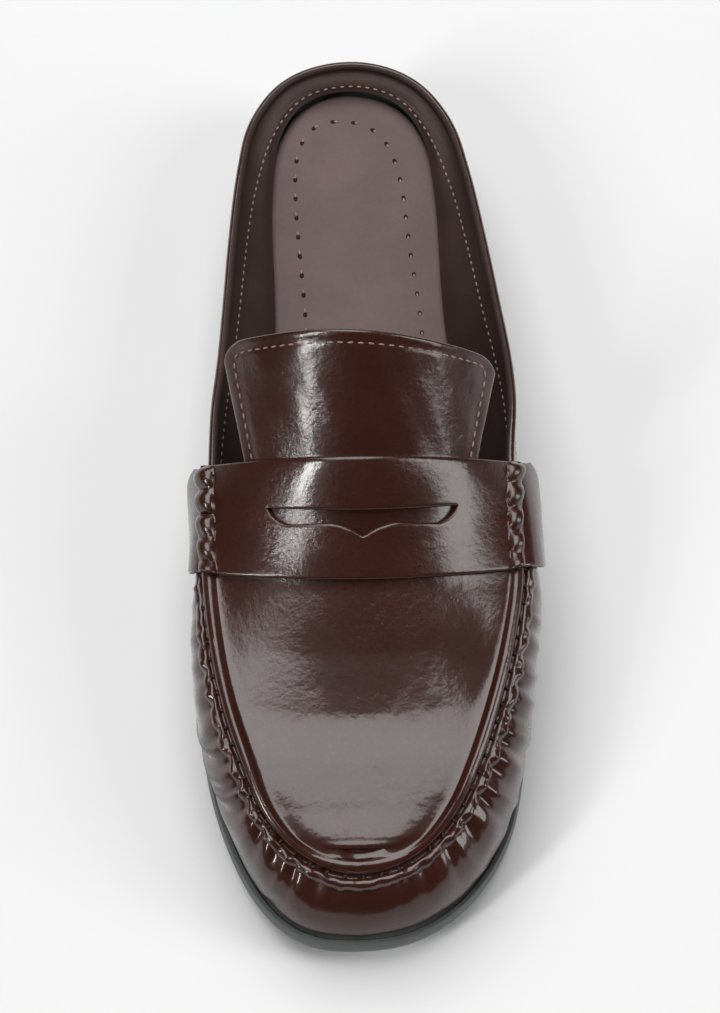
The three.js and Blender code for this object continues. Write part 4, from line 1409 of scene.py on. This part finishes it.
# Lights: highest and lowest direction they fill, distance and width in metres, and radiance
SOFTBOXES = {
    "overhead_softbox": ((-0.1, 0.74, 0.67), (-0.1, -0.16, 0.98), 3.1, 2.1, 3.85),
    "left_strip": ((-0.55, -0.32, 0.77), (-0.7, -0.54, 0.44), 2.5, 0.24, 24.0),
    "right_strip": ((0.57, -0.12, 0.81), (0.95, -0.2, 0.25), 2.5, 0.8, 4.6),
}
LIGHT_AIM = 0.03  # height in metres that the lights are set round
STUDIO = (0.035, 0.035, 0.035, 1)
SWEEP = (0.8, 0.8, 0.8, 1)
SWEEP_TOP = 0.06  # height, as a direction, up to which the pale sweep shows


def build_camera():
    aim = Vector(placed([VIEW_AIM])[0])
    back = Vector(
        (
            math.sin(VIEW_TURN) * math.cos(VIEW_TILT),
            -math.cos(VIEW_TURN) * math.cos(VIEW_TILT),
            math.sin(VIEW_TILT),
        )
    )
    right = Vector((math.cos(VIEW_TURN), math.sin(VIEW_TURN), 0))
    up = back.cross(right)
    basis = Matrix((right, up, back)).transposed()
    camera = bpy.data.cameras.new("camera")
    camera.sensor_width = SENSOR
    camera.lens = SENSOR * PHOTO_FOCAL * CLOSER / PHOTO_HEIGHT
    camera.shift_y = -PHOTO_SHIFT * CLOSER / PHOTO_HEIGHT
    camera.clip_start, camera.clip_end = 0.05, 50
    obj = link("camera", camera)
    obj.matrix_world = (
        Matrix.Translation(aim + back * VIEW_DISTANCE)
        @ basis.to_4x4()
        @ Matrix.Rotation(-VIEW_ROLL, 4, "Z")
    )
    bpy.context.scene.camera = obj


def softbox(name, high, low, distance, width, radiance):
    """A soft light that fills a strip of the shoe's sky between two directions."""
    a, b = (Vector(v).normalized() * distance for v in (high, low))
    away = (a + b).normalized()
    light = bpy.data.lights.new(name, "AREA")
    light.shape = "RECTANGLE"
    light.size, light.size_y = width, (a - b).length
    light.energy = radiance * math.pi * light.size * light.size_y
    along = (a - b).normalized()
    obj = link(name, light)
    basis = Matrix((along.cross(away), along, away)).transposed().to_4x4()
    obj.matrix_world = Matrix.Translation((a + b) / 2 + Vector((0, 0, LIGHT_AIM))) @ basis


def studio_world():
    """A dark studio above a pale sweep, which shows low over the floor."""
    world = bpy.data.worlds.new("studio")
    world.use_nodes = True
    tree = world.node_tree
    place = add(tree, "ShaderNodeTexCoord").outputs["Generated"]
    height = add(tree, "ShaderNodeSeparateXYZ", Vector=place).outputs["Z"]
    shade = ramp(tree, height, [(0.0, SWEEP), (SWEEP_TOP, STUDIO)])
    tree.links.new(shade, tree.nodes["Background"].inputs["Color"])
    return world


def build_stage():
    mesh = bpy.data.meshes.new("floor")
    r = 6.0  # metres from the shoe to the floor's sides
    mesh.from_pydata([(-r, -r, 0), (r, -r, 0), (r, r, 0), (-r, r, 0)], [], [(0, 1, 2, 3)])
    floor = link("floor", mesh)
    paper, tree, out, place = blank("seamless_paper")
    pale = tuple(bpy.context.scene.mule_colors.floor)
    shade = ramp(tree, noise(tree, place, 60, 2.0), [(0.3, tone(pale, 0.99)), (0.7, pale)])
    surface(tree, out, Base_Color=shade, Roughness=0.9)
    mesh.materials.append(paper)

    scene = bpy.context.scene
    scene.world = studio_world()
    scene.view_settings.view_transform = "Standard"
    for name, place in SOFTBOXES.items():
        softbox(name, *place)
    build_camera()


# ---- add-on


def length_property(name, description, default, low, high):
    """A length in the panel, from its default and limits in millimetres."""
    return FloatProperty(
        name=name, description=description, default=default * MM, min=low * MM, max=high * MM,
        precision=5, unit="LENGTH",
    )  # fmt: skip


class MuleSizes(bpy.types.PropertyGroup):
    roll_height: length_property(
        "Seam roll", "Height of the roll along the apron's edge", 2.0, 0, 4
    )
    pleat_depth: length_property(
        "Pleat depth", "Depth of the deepest pleats under the seam", 1.25, 0, 2
    )
    whip_pitch: length_property(
        "Whip stitch pitch", "Distance between the stitches of the apron seam", 4.8, 2, 10
    )
    puff_pitch: length_property(
        "Strap puff pitch", "Distance between the ties of the strap's roll", 6.8, 3, 15
    )
    row_pitch: length_property(
        "Quarter stitch pitch", "Distance between stitches of the double row", 3.4, 1.5, 10
    )
    thread: length_property("Thread", "Thickness of the sewing thread", 0.8, 0.3, 2)


def color_property(name, description, code):
    return FloatVectorProperty(
        name=name, description=description, default=linear(code), subtype="COLOR", size=4,
        min=0, max=1,
    )  # fmt: skip


class MuleColors(bpy.types.PropertyGroup):
    leather: color_property("Leather", "Dark brown leather of the upper", "#371810")
    lining: color_property("Lining", "Leather inside the upper", "#32211c")
    insole: color_property("Insole", "Taupe footbed", "#604d4c")
    sole: color_property("Sole", "Rubber of outsole and top piece", "#464a49")
    lifts: color_property("Lifts", "Rubber of the heel's lifts", "#4b4c51")
    thread: color_property("Thread", "Light brown sewing thread", "#8f7468")
    floor: color_property("Floor", "Pale paper under the shoe", "#e9e9e9")


def dress(obj, slot, *nodes):
    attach(obj, "root")
    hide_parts(*nodes)


class MULE_OT_sole(bpy.types.Operator):
    """Outsole with its ledge and bed"""

    bl_idname = "mule.sole"
    bl_label = "Outsole"

    def execute(self, context):
        dress(build_outsole(), "sole", "outsole")
        return {"FINISHED"}


class MULE_OT_heel(bpy.types.Operator):
    """Top piece, lift and wedge of the heel"""

    bl_idname = "mule.heel"
    bl_label = "Heel"

    def execute(self, context):
        top = lambda h: np.full_like(np.asarray(h[X], float), TOP_PIECE)
        floor = lambda h: np.zeros_like(np.asarray(h[X], float))
        dress(heel_layer("rubber_top_piece", floor, top, "sole_rubber"), "sole", "heel_top_piece")
        dress(
            heel_layer("rubber_lift", lambda h: top(h) + GAP, lift_top, "lift_rubber"),
            "heel_lifts", "heel_lift",
        )  # fmt: skip
        dress(
            heel_layer("rubber_wedge", lambda h: lift_top(h) + GAP, wedge_top, "lift_rubber"),
            "heel_lifts", "heel_wedge",
        )  # fmt: skip
        return {"FINISHED"}


class MULE_OT_insole(bpy.types.Operator):
    """Footbed inside the upper"""

    bl_idname = "mule.insole"
    bl_label = "Insole"

    def execute(self, context):
        dress(build_insole(), "insole", "insole")
        return {"FINISHED"}


class MULE_OT_upper(bpy.types.Operator):
    """Side wall and apron with the gathered seam between them"""

    bl_idname = "mule.upper"
    bl_label = "Upper"

    def execute(self, context):
        dress(build_upper(context.scene.mule_sizes), "leather", "upper")
        return {"FINISHED"}


class MULE_OT_tongue(bpy.types.Operator):
    """Fan tongue behind the strap"""

    bl_idname = "mule.tongue"
    bl_label = "Tongue"

    def execute(self, context):
        dress(build_tongue(context.scene.mule_sizes), "leather", "tongue")
        return {"FINISHED"}


class MULE_OT_strap(bpy.types.Operator):
    """Saddle strap with its slot and the roll tied over the seam"""

    bl_idname = "mule.strap"
    bl_label = "Strap"

    def execute(self, context):
        dress(build_strap(context.scene.mule_sizes), "leather", "strap")
        return {"FINISHED"}


class MULE_OT_stitching(bpy.types.Operator):
    """Rows of stitches on quarter, lining, seam, tongue and insole"""

    bl_idname = "mule.stitching"
    bl_label = "Stitching"

    def execute(self, context):
        build_stitching(context.scene.mule_sizes)
        return {"FINISHED"}


class MULE_OT_stage(bpy.types.Operator):
    """Pale floor, softboxes and the camera at the photograph's angle"""

    bl_idname = "mule.stage"
    bl_label = "Stage"

    def execute(self, context):
        build_stage()
        return {"FINISHED"}


OPERATORS = (
    MULE_OT_sole, MULE_OT_heel, MULE_OT_insole, MULE_OT_upper,
    MULE_OT_tongue, MULE_OT_strap, MULE_OT_stitching, MULE_OT_stage,
)  # fmt: skip


class MULE_PT_panel(bpy.types.Panel):
    """Sizes, colours and pieces of the loafer mule"""

    bl_idname = "MULE_PT_panel"
    bl_label = "Loafer mule"
    bl_space_type = "VIEW_3D"
    bl_region_type = "UI"
    bl_category = "Shoe"

    def draw(self, context):
        for group in (context.scene.mule_sizes, context.scene.mule_colors):
            box = self.layout.box()
            for name in group.__annotations__:
                box.prop(group, name)
        for operator in OPERATORS:
            self.layout.operator(operator.bl_idname)


CLASSES = (MuleSizes, MuleColors, *OPERATORS, MULE_PT_panel)


def register():
    for cls in CLASSES:
        bpy.utils.register_class(cls)
    bpy.types.Scene.mule_sizes = PointerProperty(type=MuleSizes)
    bpy.types.Scene.mule_colors = PointerProperty(type=MuleColors)


def unregister():
    del bpy.types.Scene.mule_sizes, bpy.types.Scene.mule_colors
    for cls in reversed(CLASSES):
        bpy.utils.unregister_class(cls)


def main():
    register()
    for step in ("sole", "heel", "insole", "upper", "tongue", "strap", "stitching", "stage"):
        getattr(bpy.ops.mule, step)()


if __name__ == "__main__":
    main()
